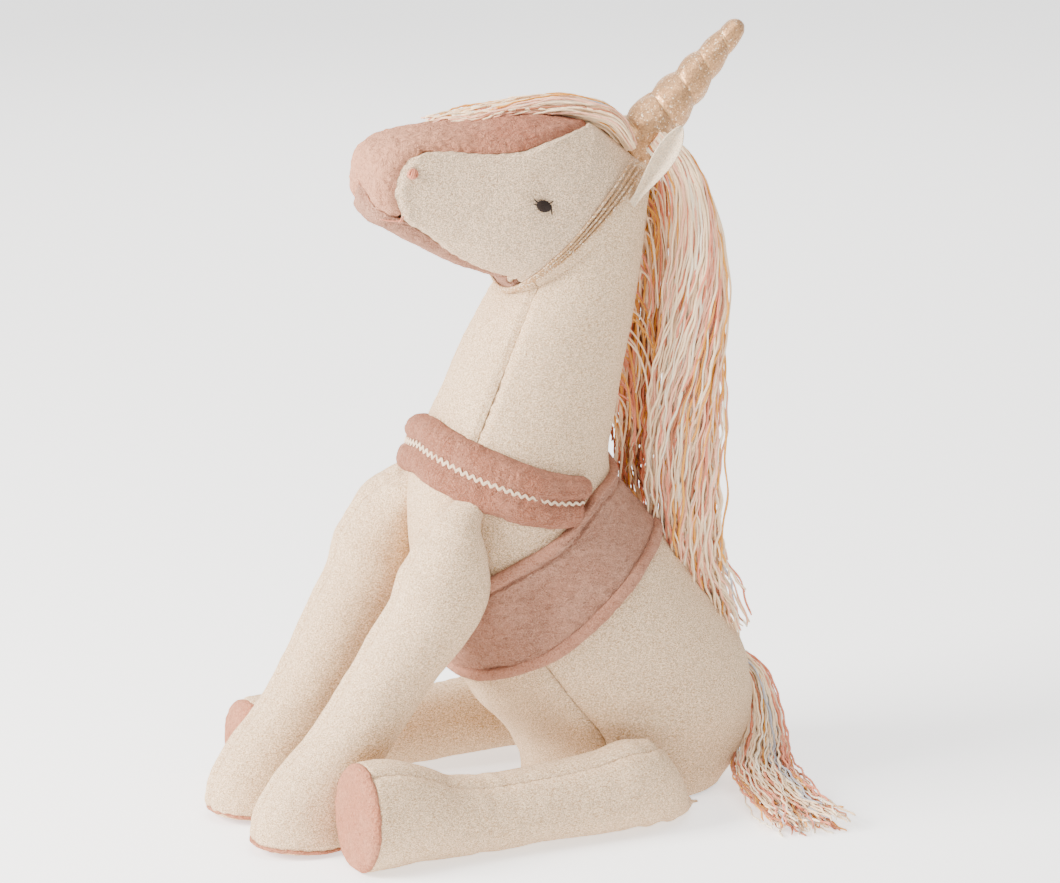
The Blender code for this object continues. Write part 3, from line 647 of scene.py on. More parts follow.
BODY_CREASES = (            # foot, end, depth and width of each on the left side
    ((0.082, -0.062, 0.050), (0.076, -0.018, 0.066), 0.0055, 0.0050),
    ((0.066, -0.072, 0.052), (0.056, -0.098, 0.094), 0.0034, 0.0045),
    ((0.074, -0.030, 0.070), (0.066, 0.020, 0.066), 0.0016, 0.0060),
    ((0.050, -0.105, 0.090), (0.058, -0.075, 0.108), 0.0018, 0.0040),
    ((0.052, -0.085, 0.235), (0.042, -0.050, 0.262), 0.0010, 0.0060))


def body_folds(base, s, angle):
    """Creases where the legs and the saddle pull the cloth, and its slack under the belly."""
    found = sum(crease(base * (side, 1, 1), *fold) for side, _ in SIDES for fold in BODY_CREASES)
    slack = np.exp(-((s - 1.8) / 1.2) ** 2)
    return found + 0.0010 * slack * noise(base * (1, 1, 2.2), 0.030, 40)


def make_torso():
    f = span(0, 1, 350)[:, None]
    for side, tag in SIDES:
        k = span(0, 1, 170)[None]
        top = TORSO_TOP + keyed(ELASTIC, keyed(GUSSET_EDGE, 10.8) * (1 - k) - 90 * k)
        s = f * top
        edge = keyed(GUSSET_EDGE, s) - SEAM_GAP
        angles = edge * (1 - k) - (90 - SEAM_GAP) * k
        made = cover(f"body_side_cover_{tag}", torso_points, s, on_side(angles, side),
                     FELT, None, seams="lr", seed=3, extra=body_folds,
                     nodes=(f"body_side_panel_{tag}",))
        bend_at_neck(made)
    k = span(-1, 1, 90)[None]
    middle = TORSO_TOP + keyed(ELASTIC, 90 - np.abs(k) * (90 - keyed(GUSSET_EDGE, 10.8)))
    s = f * middle
    angles = 90 + k * (90 - keyed(GUSSET_EDGE, s) - SEAM_GAP)
    made = cover("chest_gusset_cover", torso_points, s, angles, FELT, None,
                 seams="lr", seed=5, extra=body_folds,
                 nodes=("chest_gusset", "upper_neck_cover", "body_stuffing"))
    bend_at_neck(made)


# ---- the cloth of the head --------------------------------------------------------------------
HEAD_HOLLOWS = (((0.042, -0.074, 0.405), -0.0018, 0.010), ((0.030, -0.155, 0.412), -0.0012, 0.012),
                ((0.044, -0.060, 0.380), 0.0012, 0.020))      # middle, depth and size


def head_hollows(base, s, angle):
    """Slight dents at the eye and behind the nostril, and the fullness of the jaw."""
    found = 0.0
    for side, _ in SIDES:
        for where, depth, size in HEAD_HOLLOWS:
            gap = np.linalg.norm(base * (side, 1, 1) - where, axis=-1)
            found = found + depth * np.exp(-(gap / size) ** 2)
    return found


def muzzle_edge(base, s, angle):
    """Sinks the muzzle's plush into its seam with the cheek, and under the cheek beyond it."""
    seam_angle = span(-44, 42, 120)
    line = head_points(keyed(CHEEK_FRONT, seam_angle), seam_angle)
    found = np.zeros(base.shape[:2])
    near = s > 4.6
    mirrored = base[near].copy()
    mirrored[:, 0] = np.abs(mirrored[:, 0])
    gap = np.linalg.norm(mirrored[:, None] - line[None], axis=-1).min(1)
    a = left_angle(angle[near])
    inside = (s[near] < keyed(CHEEK_FRONT, a)) & (a > -44) & (a < 41)
    found[near] = np.where(inside, -0.0022 - 0.0012 * smooth(gap / 0.003),
                           -0.0022 * np.exp(-(gap / 0.0030) ** 1.5))
    return found


def make_head():
    tip = len(HEAD_ROWS)
    k = span(0, 1, 120)[None]
    front_angle = -42 + 83 * k
    for side, tag in SIDES:
        f = span(0, 1, 220)[:, None]
        start = keyed(ELASTIC, -90 + 158 * k)
        s = start + f * (keyed(CHEEK_FRONT, front_angle) - start)
        low = -90 + np.minimum(keyed(NOSE_HALF, s), 48 + 2.5 * (s < 4)) + SEAM_GAP
        high = 90 - keyed(CHIN_HALF, s) - SEAM_GAP
        angles = low * (1 - k) + high * k
        made = cover(f"cheek_cover_{tag}", head_points, s, on_side(angles, side),
                     SHADED_HEAD_FELT, "head", seams="lrt", seed=11,
                     extra=head_hollows, nodes=(f"cheek_panel_{tag}",))
    k = span(-1, 1, 150)[None]
    s = np.concatenate([span(0.02, 4.8, 150), span(4.82, 5.6, 70), span(5.62, tip, 90)])[:, None]
    angles = -90 + k * (keyed(NOSE_HALF, s) - SEAM_GAP)
    made = cover("nose_gusset_cover", head_points, s + 0 * k, angles, PINK_PALE,
                 "head", seams="lr", seed=13, relief=pile_relief, offset=0.0006, depth=0.0022,
                 extra=muzzle_edge, nodes=("nose_gusset", "head_stuffing"))
    k = span(-1, 1, 90)[None]
    s = span(0.24, tip, 240)[:, None]
    angles = 90 + k * (keyed(CHIN_HALF, s) - SEAM_GAP)
    made = cover("chin_gusset_cover", head_points, s + 0 * k, angles, PINK, "head",
                 seams="lr", seed=17, relief=pile_relief, offset=0.0006, depth=0.0022,
                 nodes=("chin_gusset",))


# ---- legs ----------------------------------------------------------------------------------
LEG_FOLDS = {               # where along the leg, how far, how deep; the folds' noise and its seed
    "front": ((2.6, 1.0, 0.0012, (0.8, 0.8, 2.4), 0.020, 60),
              (8.2, 0.8, 0.0006, (1, 1, 2.5), 0.016, 61)),
    "hind": ((3.0, 1.3, 0.0011, (1, 2.6, 1), 0.024, 62), (7.2, 0.9, 0.0008, (1, 2.6, 1), 0.018, 63)),
}


def leg_folds(kind):
    def folds(base, s, angle):
        return sum(deep * np.exp(-((s - at) / far) ** 2) * noise(base * stretch, size, seed)
                   for at, far, deep, stretch, size, seed in LEG_FOLDS[kind])
    return folds


def sole(name, ring, centre, facing, bulge, nodes, body, seed):
    """A plush disc over the end of a leg: rings from its rim to its middle, slightly domed."""
    t = span(0, 1, 46)[:, None, None]
    dome = bulge * np.sqrt(np.clip(1 - (1 - t) ** 2.2, 0, 1))
    p = ring[None] * (1 - t) + centre * t + facing * dome
    height = pile_relief(p, 0.9, seed) - 0.0018 * np.exp(-(gone_along(p) / 0.0028) ** 1.5)
    top = p + facing * height[..., None]
    top[..., 2] = np.maximum(top[..., 2], SOLE_CLEAR)
    rows, columns = top.shape[:2]
    back = top[0] - facing * SOLE_THICKNESS
    back[..., 2] = np.maximum(back[..., 2], SOLE_CLEAR)
    verts = np.concatenate([top.reshape(-1, 3), back, back.mean(0)[None]])
    faces = list(grid_faces(rows, columns, closed=True)) + fan_cap(columns, rows * columns)
    made = closed_object(name, verts, faces, SOLE_PINK, body)
    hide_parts(*nodes)
    return made


def slanted(points, slope):
    """The same form with the sections of its first part leaning forward as they rise."""
    def found(s, angle, offset=0.0):
        p = points(s, angle, offset)
        lean = slope * (1 - smooth(np.asarray(s, float) / 4.2))
        p[..., 1] = p[..., 1] - lean * (p[..., 2] - HIND_LEG_HEIGHT)
        return p
    return found


def make_leg(kind, rows, start, end, seed):
    for side, tag in SIDES:
        turned = rows * np.array((side, 1, 1, 1, 1))
        if kind == "hind" and side < 0:
            turned[-4:, 2] *= FAR_FOOT_SQUASH
            turned[-4:, 4] *= FAR_FOOT_SQUASH
        form = Form(turned, start=(start[0] * side, *start[1:]), end=end, floor=True, power=2.1)
        shape = slanted(form.points, HIND_END_SLANT if kind == "hind" else 0.0)
        body = f"{kind}_leg_{tag}"
        s = span(0, form.last, 280)
        ridge = -62 if kind == "hind" else -90
        for panel, low, high in (("outer", ridge + 0.2, 89.8), ("inner", ridge + 359.8, 90.2)):
            angles = span(low, high, 84)
            S, A = np.meshgrid(s, on_side(angles, side), indexing="ij")
            nodes = [f"{kind}_leg_{panel}_panel_{tag}"]
            if panel == "inner":
                nodes.append(f"{kind}_leg_stuffing_{tag}")
            made = cover(f"{kind}_leg_{panel}_cover_{tag}", shape, S, A,
                         FELT, None, seams="lrt", seed=seed + side, extra=leg_folds(kind),
                         nodes=nodes, depth=0.0015)
            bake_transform(made)
        ring = form.points(np.full(120, float(form.last)), np.arange(120) * 3.0, 0.0008)
        facing = unit(np.array(end, float))
        sole(f"{kind}_leg_sole_cover_{tag}", ring + facing * 0.0002,
             turned[-1, :3] + facing * 0.0002, facing, 0.0035 if kind == "hind" else 0.0002,
             (f"{kind}_leg_sole_{tag}",), body, seed + 9)


make_torso()
make_head()
make_leg("front", FRONT_LEG_ROWS, (0.2, -0.45, -0.85), (0, -0.10, -1),
         21)
make_leg("hind", HIND_LEG_ROWS, (0.1, -0.99, -0.05), (0.03, -1, 0.05),
         31)


# ---- stitching on the face ----------------------------------------------------------------------
def on_head(at, side):
    """A point on the head's cloth and the axes there: away from the head, forwards and up."""
    s, angle = at[0], on_side(at[1], side)
    p, ahead = head_points(np.array((s, s + 0.05)), angle)
    normal = unit(p - head_points(s, angle, -0.01))
    forward = unit((ahead - p) - normal * ((ahead - p) @ normal))
    return p, normal, forward, np.cross(normal, forward)


def satin(p, normal, forward, up, half_wide, half_high, dome, count, tilt=0.0):
    """Side-by-side stitches that fill an oval, each one a low arch."""
    paths = []
    a = forward * math.cos(tilt) + up * math.sin(tilt)
    b = up * math.cos(tilt) - forward * math.sin(tilt)
    for k in span(-0.94, 0.94, count):
        reach = half_wide * math.sqrt(1 - k * k)
        t = span(-1, 1, 9)
        high = dome * (1 - 0.8 * k * k) * np.sqrt(np.clip(1 - 0.92 * t ** 2, 0, 1))
        paths.append(p + a * (t * reach)[:, None] + b * (k * half_high)
                     + normal * (high + 0.0001)[:, None])
    return paths


EYE_AT, NOSTRIL_AT, MOUTH_AT = (1.74, -2), (5.23, -19), (5.40, 36)      # s and angle on the head
LASHES = (((0.0034, 0.0014), (0.0042, 0.0026)), ((0.0040, 0.0004), (0.0030, 0.0006)),
          ((-0.0032, 0.0020), (-0.0030, 0.0016)), ((-0.0046, 0.0012), (-0.0018, -0.0064)))


def make_face():
    rng = np.random.default_rng(SEED)
    for side, tag in SIDES:
        p, n, f, u = on_head(EYE_AT, side)
        u = u if u[2] > 0 else -u
        paths = satin(p, n, f, u, 0.0052, 0.0035, 0.0016, 13, tilt=0.25)
        t = span(0, 1, 6)[:, None]
        for at, reach in LASHES:
            start = p + f * at[0] + u * at[1]
            end = start + f * reach[0] + u * reach[1]
            paths.append(start * (1 - t) + end * t + n * (0.0012 - 0.0007 * t))
        eye = strands(f"eye_stitches_{tag}", paths, 0.00044, DARK, "head", ply=0.15)
        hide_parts(f"eye_{tag}")
        p, n, f, u = on_head(NOSTRIL_AT, side)
        turns = span(0, 3 * 2 * np.pi, 40)
        coil = (p + f * (np.cos(turns) * 0.0029)[:, None] + u * (np.sin(turns) * 0.0026)[:, None]
                + n * (0.0002 + 0.0018 * turns / turns[-1])[:, None])
        knot = [coil] + satin(p, n, f, u, 0.0032, 0.0024, 0.0030, 5, tilt=rng.uniform(0, 2))
        knot = strands(f"nostril_knot_{tag}", knot, 0.00095, COPPER, "head")
        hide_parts(f"nostril_{tag}")
        p, n, f, u = on_head(MOUTH_AT, side)
        u = u if u[2] > 0 else -u
        t = span(-1, 1, 8)[:, None]
        paths = [p + f * shift + u * (t * 0.0030) + n * (0.0002 + 0.0006 * (1 - t * t))
                 for shift in (-0.0006, 0.0006)]
        t = span(0, 1, 16)
        paths.append(head_points(5.40 + 0.9 * t, on_side(38 + 12.0 * t, side), 0.0004))
        mouth = strands(f"mouth_stitches_{tag}", paths, 0.00042, COPPER, "head",
                        ply=0.2)
        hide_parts(f"mouth_stitch_{tag}")


# ---- ears --------------------------------------------------------------------------------------
EAR_ROOT = np.array((0.0375, -0.0111, 0.3950))
EAR_MIDDLE = np.array((0.0440, 0.0080, 0.4250))
EAR_TIP = np.array((0.0470, 0.0200, 0.4450))
FAR_EAR_SHIFT = np.array((-0.006, 0.013, -0.013))     # the right ear lies further back


def make_ears():
    t, u = np.meshgrid(span(0, 1, 72), span(-1, 1, 40), indexing="ij")
    along = unit(EAR_TIP - EAR_ROOT)
    wide = unit(np.cross(along, unit(np.array((1.0, -0.35, 0.1)))))
    facing = np.cross(wide, along)
    half = 0.0066 * np.sin(np.pi * np.clip(0.10 + 0.90 * t, 0, 1) ** 1.7) ** 0.75 + 0.0006
    half = np.maximum(half, 0.0028 * (1 - t))
    bowl = 0.0062 * u ** 2 * np.sin(np.pi * t) ** 0.6
    from_edge = np.clip(np.clip(1 - np.abs(u), 0, 1) / 0.25, 0, 1)
    puff = 0.0016 * np.sqrt(from_edge) * np.sqrt(np.clip((1 - t) / 0.06, 0, 1))
    for side, tag in SIDES:
        tip = EAR_TIP if side > 0 else EAR_TIP + FAR_EAR_SHIFT
        spine = (((1 - t) ** 2)[..., None] * EAR_ROOT + (2 * t * (1 - t))[..., None] * EAR_MIDDLE
                 + (t ** 2)[..., None] * tip)
        middle = spine + wide * (half * u)[..., None] + facing * bowl[..., None]
        bump = 0.0003 * (1 + noise(middle, 0.006, 70)) * from_edge + 0.0004
        for layer, way in (("outer", -1), ("inner", 1)):
            skin = (middle + facing * ((puff + bump) * way)[..., None]) * (side, 1, 1)
            seam = (middle + facing * (0.0001 * way)) * (side, 1, 1)
            made = layered(f"ear_{layer}_cover_{tag}", skin, seam, FELT_PALE,
                           f"ear_{tag}")
            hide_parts(f"ear_{layer}_{tag}")


# ---- horn and its elastic -------------------------------------------------------------------
def horn_radius(t):
    """The horn's radius over its bulges: a cone with a rounded tip and a slightly flared foot."""
    cone = HORN_RADIUS * (1 - 0.70 * t)
    tip = np.sqrt(np.clip(1 - np.clip((t - 0.94) / 0.06, 0, 1) ** 2, 0, 1))
    return cone * tip * (1 + 0.06 * np.exp(-(t / 0.05) ** 2)) + 0.0001


def round_horn(t, radius, turn, sunk=0.0):
    """Points round the horn's axis at the share t of its length, less sunk."""
    side = np.array((1.0, 0, 0))
    back = np.cross(HORN_AXIS, side)
    lift = HORN_LENGTH * t * 1.03 - 0.003 - sunk
    return (HORN_FOOT + HORN_AXIS * lift[..., None] + side * (radius * np.cos(turn))[..., None]
            + back * (radius * np.sin(turn))[..., None])


def make_horn():
    rows, columns = 260, 120
    t, a = np.meshgrid(span(0, 1, rows), np.arange(columns) * 2 * np.pi / columns, indexing="ij")
    phase = (t ** HORN_TIGHTEN) * HORN_TURNS + a / (2 * np.pi)
    fold = np.abs(np.sin(np.pi * phase)) ** 0.62
    seed_point = np.stack([np.cos(a) * 0.02, np.sin(a) * 0.02, t * 0.1], -1)
    pleat = np.exp(-((fold - 0.15) / 0.45) ** 2)
    radius = horn_radius(t) * (0.845 + 0.175 * fold)
    radius = radius + (0.0009 * pleat * noise(seed_point * (1.4, 1.4, 0.5), 0.0062, 80)
                       + 0.0007 * noise(seed_point, 0.010, 81)
                       + 0.0004 * noise(seed_point, 0.0040, 82)) * (1 - 0.7 * t)
    radius[-1] = 0.0002
    p = round_horn(t, radius, a, sunk=0.010 * (1 - np.clip(t / 0.03, 0, 1)))
    base = p[0] - HORN_AXIS * 0.001
    n = rows * columns
    faces = list(grid_faces(rows, columns, closed=True)) + fan_cap(columns, n)
    faces.append(range(n - columns, n))
    made = closed_object("horn_twisted_cover",
                         np.concatenate([p.reshape(-1, 3), base, base.mean(0)[None]]), faces,
                         GLITTER, "horn")
    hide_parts("horn_cover", "horn_stuffing", "horn_base")
    t = span(0.02, 0.96, 260)
    turn = (1.0 - (t ** HORN_TIGHTEN) * HORN_TURNS) * 2 * np.pi
    strands("horn_winding_thread", [round_horn(t, horn_radius(t) * 0.85 + 0.0001, turn)], 0.00035,
            GOLD, "horn")


def make_elastic():
    """Four thin gold cords side by side, from the horn's foot round the throat and back."""
    a = span(-58, 238, 900)
    cords = []
    for k in range(4):
        s = keyed(ELASTIC, left_angle(a)) + 0.074 * (k - 1.5)
        cords.append(head_points(np.maximum(s, 0.0), a, 0.0017))
    made = strands("gold_elastic_cords", cords, 0.00102, CORD, "head", sides=8,
                   ply=0.34, pitch=0.0022)
    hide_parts("horn_elastic")


# ---- strap and saddle --------------------------------------------------------------------------
def at_side(keys, angle):
    return keyed(keys, left_angle(angle))


def band(name, centre, half, angles, profile, material, relief, seed, nodes, around_count,
         ends=0.0):
    """A padded band on the body: a closed section carried along the angles. profile gives its
    height over the cloth at v from -1 to 1, and ends is how far it rounds off, in degrees."""
    theta = np.arange(around_count) * 2 * np.pi / around_count
    v = -np.sign(np.cos(theta)) * np.abs(np.cos(theta)) ** 0.55
    close, slant = np.ones((len(angles), 1)), np.zeros((len(angles), 1))
    if ends:
        to_low, to_high = (angles - angles[0])[:, None], (angles[-1] - angles)[:, None]
        to_end = np.clip(np.minimum(to_low, to_high) / ends, 0, 1)
        close = np.maximum(np.sqrt(np.clip(1 - (1 - to_end) ** 2, 0, 1)), 0.05)
        slant = 7.0 * (np.exp(-(to_high / 12) ** 2) - np.exp(-(to_low / 12) ** 2))
    S = centre[:, None] + half * v[None] * (0.55 + 0.45 * close)
    high = np.where(theta < np.pi, profile(v), 0.0)
    p = torso_points(S, angles[:, None] + slant * v[None], BAND_GAP + high[None] * close)
    normal = away_from(p.mean(1, keepdims=True), p)
    p = p + normal * (relief(p, 1.0, seed) * (theta < np.pi))[..., None]
    rows, columns = p.shape[:2]
    n = rows * columns
    faces = list(grid_faces(rows, columns, closed=True)) + [range(columns), range(n - columns, n)]
    made = closed_object(name, p.reshape(-1, 3), faces, material, "torso")
    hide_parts(*nodes)
    return made


RICKRACK_PITCH = 0.0050     # the braid's wave, in metres
BAND_GAP = 0.0004           # between a band's underside and the cloth
# s on the torso against the angle round it: the strap's middle and half width, the saddle's edges.
STRAP_CENTRE = ((-60, 5.80), (-28, 5.90), (0, 6.06), (30, 6.36), (60, 6.56), (90, 6.66))
STRAP_HALF = ((-30, 0.60), (0, 0.60), (30, 0.50), (60, 0.44), (90, 0.42))
SADDLE_FRONT = ((-90, 6.95), (-72, 6.62), (-50, 6.42), (-31, 6.10), (-17, 5.62), (-6, 5.30),
                (8, 5.16), (22, 5.08), (40, 4.95), (90, 4.85))
SADDLE_REAR = ((-90, 3.80), (-38, 3.86), (-6, 3.74), (25, 3.62), (90, 3.63))


def strap_height(v):
    body = 0.0105 * np.sqrt(np.clip(1 - np.abs(v) ** 5, 0, 1))
    return body * (1 - 0.40 * np.exp(-(v / 0.20) ** 2))


def piping_height(v):
    return 0.0036 + 0.0019 * np.sqrt(np.clip(1 - np.abs(v) ** 2.6, 0, 1))


def piping_relief(p, lumps, seed):
    return 0.6 * pile_relief(p, 0.5, seed)


def make_strap():
    angles = span(-19, 199, 460)
    made = band("breast_strap_cover", at_side(STRAP_CENTRE, angles),
                at_side(STRAP_HALF, angles)[:, None], angles, strap_height,
                STRAP_PINK, pile_relief, 90, ("breast_strap",), around_count=130, ends=3.5)
    a = span(-16, 196, 1700)
    middle = at_side(STRAP_CENTRE, a)
    run = gone_along(torso_points(middle, a, 0.007))
    wave = np.sin(run / RICKRACK_PITCH * 2 * np.pi)
    lift = strap_height(0.0) + 0.0019
    paths = [torso_points(middle + 0.026 * wave + 0.018 * k, a, lift + 0.0001 * k)
             for k in (-1, 0, 1)]
    made = strands("rickrack_braid", paths, 0.00046, TRIM, "torso", sides=6,
                   ply=0.25, pitch=0.002)
    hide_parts("rickrack")


def make_saddle():
    columns = 560
    a = -90 + np.arange(columns) * 360 / columns
    k = span(0, 1, 150)[:, None]
    S = at_side(SADDLE_REAR, a)[None] * (1 - k) + at_side(SADDLE_FRONT, a)[None] * k
    A = np.repeat(a[None], len(k), 0)
    base = torso_points(S, A, 0.0036)
    _, _, low, high = edge_lengths(base)
    height = 1.1 * pile_relief(base, 1.2, 100) + 0.0009 * noise(base, 0.030, 101)
    for depth, distance, at in ((0.0010, low, 0.0055), (0.0014, high, 0.0085),
                                (0.0012, low, 0.0), (0.0012, high, 0.0)):
        height = height - depth * np.exp(-((distance - at) / 0.0012) ** 2)
    top = base + away_from(torso_points(S, A + 180), base) * height[..., None]
    saddle = layered("saddle_cloth", top, torso_points(S, A, 0.0006), PINK, "torso",
                     closed=True)
    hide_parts("saddle")
    loop = span(-90, 270, 700)
    for name, edge, step, node in (
            ("saddle_front_piping", SADDLE_FRONT, -0.065, "saddle_front_binding"),
            ("saddle_rear_piping", SADDLE_REAR, 0.060, "saddle_rear_binding")):
        band(name, at_side(edge, loop) + step, 0.085, loop, piping_height,
                            BINDING, piping_relief, 102, (node,),
                            around_count=40)


make_face()
make_ears()
make_horn()
make_elastic()
make_strap()
make_saddle()


# ---- yarn: mane, forelock and tail ---------------------------------------------------------
YARN_SHARES = (("cream", 0.47), ("white", 0.14), ("peach", 0.14), ("ochre", 0.10),
               ("salmon", 0.09), ("blue", 0.03), ("rust", 0.03))


def hair(name, spine, wide, count, seed, nodes, body=None, radius=0.00078, wave=0.0022,
         ends=(0.84, 1.0), shares=YARN_SHARES, points=70, floor=False, spread=0.0, twist=0.0):
    """A lock of yarn. spine has rows of x, y, z, half width, half depth; wide is the direction
    of its width. Strands keep to clumps, wander more towards their ends, and end unevenly. A lock
    without a body has its transform baked into its mesh."""
    rng = np.random.default_rng(seed)
    last = len(spine) - 1
    wide = unit(np.array(wide, float))

    def in_disc():
        r, turn = math.sqrt(rng.uniform(0, 1)), rng.uniform(0, 2 * np.pi)
        return r * math.cos(turn), r * math.sin(turn)

    clumps = [(*in_disc(), rng.uniform(0, 6.28, 3), rng.uniform(0.7, 1.5), rng.uniform(-1, 1, 2))
              for _ in range(max(4, count // 12))]
    groups = {key: [] for key, _ in shares}
    weights = np.array([weight for _, weight in shares])
    for _ in range(count):
        cu, cv, phase, speed, drift = clumps[rng.integers(len(clumps))]
        a0, b0 = in_disc()
        own = rng.uniform(0, 6.28, 4)
        t = span(0, 1, points) * rng.uniform(*ends)
        row = spline(spine, t * last)
        along = unit((spline(spine, np.minimum(t + 0.01, 1) * last)
                      - spline(spine, np.maximum(t - 0.01, 0) * last))[:, :3])
        side = unit(wide - along * (along @ wide)[:, None])
        up = np.cross(along, side)
        pull = np.clip(t * 1.3, 0, 1) * 0.75 + 0.1
        a, b = (own_at * (1 - 0.45 * pull) + clump_at * 0.45 * pull
                for own_at, clump_at in ((a0, cu), (b0, cv)))
        turned = twist * (t - 0.3)
        a, b = a * np.cos(turned) - b * np.sin(turned), a * np.sin(turned) + b * np.cos(turned)
        grow = 0.25 + 0.75 * smooth(t * 1.4)
        swing_a, swing_b = (wave * grow * (np.sin(phase[k] + 6.3 * speed * t * slow)
                                           + 0.55 * np.sin(own[k] + 6.3 * t * quick))
                            for k, slow, quick in ((0, 1.6, 3.3), (1, 1.9, 3.7)))
        curl = 0.00080 * np.sin(own[2] + t * 6.3 * 13 * speed) * grow
        flare = spread * smooth((t - 0.72) / 0.28)
        aside = a * row[:, 3] + swing_a + curl + flare * (drift[0] + 0.5 * a0)
        over = b * row[:, 4] + swing_b + flare * 0.5 * drift[1]
        path = row[:, :3] + side * aside[:, None] + up * over[:, None]
        if floor:
            path[:, 2] = np.maximum(path[:, 2], radius * 1.05)
        key = shares[rng.choice(len(shares), p=weights / weights.sum())][0]
        groups[key].append((path, radius * rng.uniform(0.85, 1.2)))
    pieces = []
    for key, found in groups.items():
        if found:
            paths, radii = zip(*found)
            pieces.append(strands(f"{name}_{key}", paths, list(radii), YARNS[key],
                                  body, ply=0.34, pitch=0.0042))
            if not body:
                bend_at_neck(pieces[-1])
    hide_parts(*nodes)


TO_RIGHT = (0.4226, 0.9063, 0.0)
NEAR_LOCK = np.array([
    (0.014, 0.0150, 0.4290, 0.008, 0.007),
    (0.019, 0.0270, 0.4170, 0.011, 0.009),
    (0.024, 0.0370, 0.3950, 0.014, 0.011),
    (0.028, 0.0410, 0.3600, 0.020, 0.013),
    (0.030, 0.0405, 0.3260, 0.024, 0.014),
    (0.030, 0.0375, 0.2900, 0.024, 0.014),
    (0.030, 0.0350, 0.2540, 0.026, 0.014),
    (0.030, 0.0340, 0.2180, 0.027, 0.013),
    (0.029, 0.0360, 0.1820, 0.027, 0.012),
    (0.028, 0.0420, 0.1480, 0.025, 0.010),
    (0.026, 0.0540, 0.1200, 0.024, 0.008),
    (0.025, 0.0640, 0.0930, 0.025, 0.007),
])
FAR_LOCK = np.array([
    (-0.004, 0.0150, 0.4250, 0.008, 0.007),
    (-0.010, 0.0240, 0.4000, 0.012, 0.009),
    (-0.018, 0.0280, 0.3500, 0.018, 0.010),
    (-0.020, 0.0260, 0.2950, 0.021, 0.010),
    (-0.020, 0.0200, 0.2450, 0.020, 0.010),
    (-0.018, 0.0200, 0.2050, 0.017, 0.009),
    (-0.016, 0.0260, 0.1700, 0.012, 0.007),
])
FORELOCK = np.array([
    (0.008, -0.0010, 0.4250, 0.016, 0.005),
    (0.005, -0.0130, 0.4440, 0.017, 0.009),
    (0.000, -0.0320, 0.4520, 0.017, 0.009),
    (-0.005, -0.0560, 0.4545, 0.016, 0.0075),
    (-0.010, -0.0840, 0.4530, 0.015, 0.0050),
    (-0.014, -0.1080, 0.4500, 0.013, 0.0030),
    (-0.017, -0.1280, 0.4470, 0.011, 0.0020),
])
TAIL = np.array([
    (0.002, 0.0850, 0.0720, 0.007, 0.007),
    (0.010, 0.0930, 0.0600, 0.011, 0.010),
    (0.022, 0.0925, 0.0420, 0.015, 0.012),
    (0.038, 0.0870, 0.0250, 0.019, 0.012),
    (0.058, 0.0770, 0.0150, 0.024, 0.010),
    (0.082, 0.0710, 0.0110, 0.028, 0.008),
    (0.110, 0.0680, 0.0080, 0.031, 0.006),
    (0.136, 0.0660, 0.0055, 0.033, 0.004),
    (0.157, 0.0640, 0.0040, 0.034, 0.003),
])


def crest_tufts():
    """Short loops sewn down the crest between the two locks."""
    rng = np.random.default_rng(SEED + 5)
    paths = {"cream": [], "salmon": [], "ochre": []}
    for k in range(70):
        t = (k + rng.uniform(0, 1)) / 70
        root = np.array((rng.normal(0, 0.004), 0.0180 - 0.0290 * t ** 0.8, 0.414 - 0.165 * t))
        length = rng.uniform(0.020, 0.075)
        lean, bow = rng.uniform(-0.35, 0.35), rng.uniform(0.3, 1.5)
        u = span(0, 1, 18)
        out = 0.010 * bow * np.sin(u * 2.4) + 0.010 * rng.uniform(0, 1) * u
        p = root + np.stack([lean * length * u, out,
                             -length * u ** 1.3 + 0.004 * np.sin(u * 3.0)], -1)
        paths[list(paths)[int(rng.integers(3))]].append(p)
    first = None
    for key, found in paths.items():
        made = strands(f"mane_crest_{key}", found, 0.00078, YARNS[key], None)
        bend_at_neck(made)
        first = first or made
    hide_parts("mane_crest")


hair("mane_near_lock", NEAR_LOCK, TO_RIGHT, 380, 201, ("mane_near_lock",), ends=(0.80, 1.0),
     spread=0.012, wave=0.0034, points=96, radius=0.00088, twist=3.6)
# The far lock hangs in the neck's shadow: its share of yarns leans to the darker colours, more salmon
# and rust and no pale, peach or blue, as painted shade.
hair("mane_far_lock", FAR_LOCK, TO_RIGHT, 110, 202, ("mane_far_lock",), ends=(0.75, 1.0),
     spread=0.006, shares=(("salmon", 0.34), ("cream", 0.28), ("ochre", 0.18), ("rust", 0.20)))
hair("forelock", FORELOCK, (1, 0.1, 0), 170, 203, ("forelock",), body="head", ends=(0.55, 1.0),
     wave=0.0012, spread=0.004, points=48)
hair("tail", TAIL, (0.25, 0.95, 0.0), 260, 204, ("tail",), body="tail", ends=(0.66, 1.0),
     wave=0.0018, spread=0.012, points=64, floor=True,
     shares=(("cream", 0.40), ("white", 0.22), ("ochre", 0.13), ("salmon", 0.13), ("blue", 0.04),
             ("rust", 0.08)))
crest_tufts()


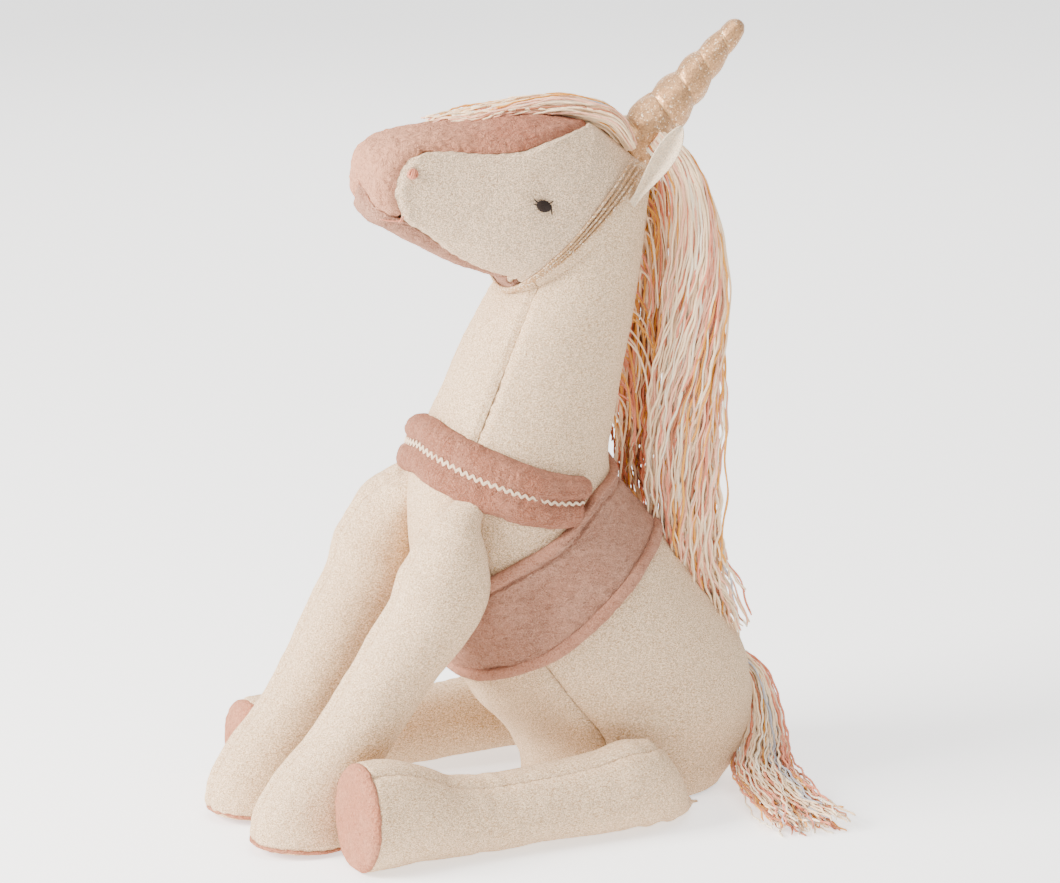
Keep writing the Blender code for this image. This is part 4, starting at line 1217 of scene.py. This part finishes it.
# ---- the CAD pieces that still show -----------------------------------------------------------
seat = bpy.data.objects["seat_panel"]
seat.data.materials.clear()
seat.data.materials.append(FELT)


# ---- floor, light and camera ----------------------------------------------------------------
bpy.ops.mesh.primitive_plane_add(size=12)
floor = bpy.context.active_object
floor.name = "studio_floor"
floor.data.materials.append(floor_material())

world = bpy.data.worlds.new("studio")
world.use_nodes = True
world.node_tree.nodes["Background"].inputs["Color"].default_value = (1, 1, 1, 1)
world.node_tree.nodes["Background"].inputs["Strength"].default_value = 0.72
bpy.context.scene.world = world


def softbox(name, at, aim, size, power):
    light = bpy.data.lights.new(name, "AREA")
    light.shape = "RECTANGLE"
    light.size, light.size_y = size
    light.energy = power
    light.color = (1.0, 0.965, 0.92)
    made = bpy.data.objects.new(name, light)
    made.location = at
    made.rotation_euler = (Vector(aim) - Vector(at)).to_track_quat("-Z", "Y").to_euler()
    bpy.context.scene.collection.objects.link(made)


softbox("key_softbox", (-0.10, -2.1, 1.20), (0, 0, 0.25), (1.1, 1.1), 185)
softbox("top_softbox", (0.4, -0.2, 2.2), (0, 0, 0.2), (1.5, 1.5), 36)
softbox("back_softbox", (-1.6, 0.6, 1.2), (0, 0, 0.25), (1.0, 1.4), 14)

AZIMUTH, ELEVATION, DISTANCE = math.radians(65), math.radians(16), 4.0
LENS, SENSOR = 212.7, 36
AIM = (-0.0576, 0.2198, 0.095)          # how far right of, above and in front of the origin
right = Vector((math.cos(AZIMUTH), math.sin(AZIMUTH), 0))
back = Vector((math.sin(AZIMUTH) * math.cos(ELEVATION),
               -math.cos(AZIMUTH) * math.cos(ELEVATION), math.sin(ELEVATION)))
up = back.cross(right)
camera = bpy.data.cameras.new("camera")
camera.lens, camera.sensor_width = LENS, SENSOR
viewer = bpy.data.objects.new("camera", camera)
aim = right * AIM[0] + up * AIM[1] + back * AIM[2]
viewer.matrix_world = Matrix.Translation(aim + back * DISTANCE) @ Matrix(
    (right, up, back)).transposed().to_4x4()
bpy.context.scene.collection.objects.link(viewer)
bpy.context.scene.camera = viewer
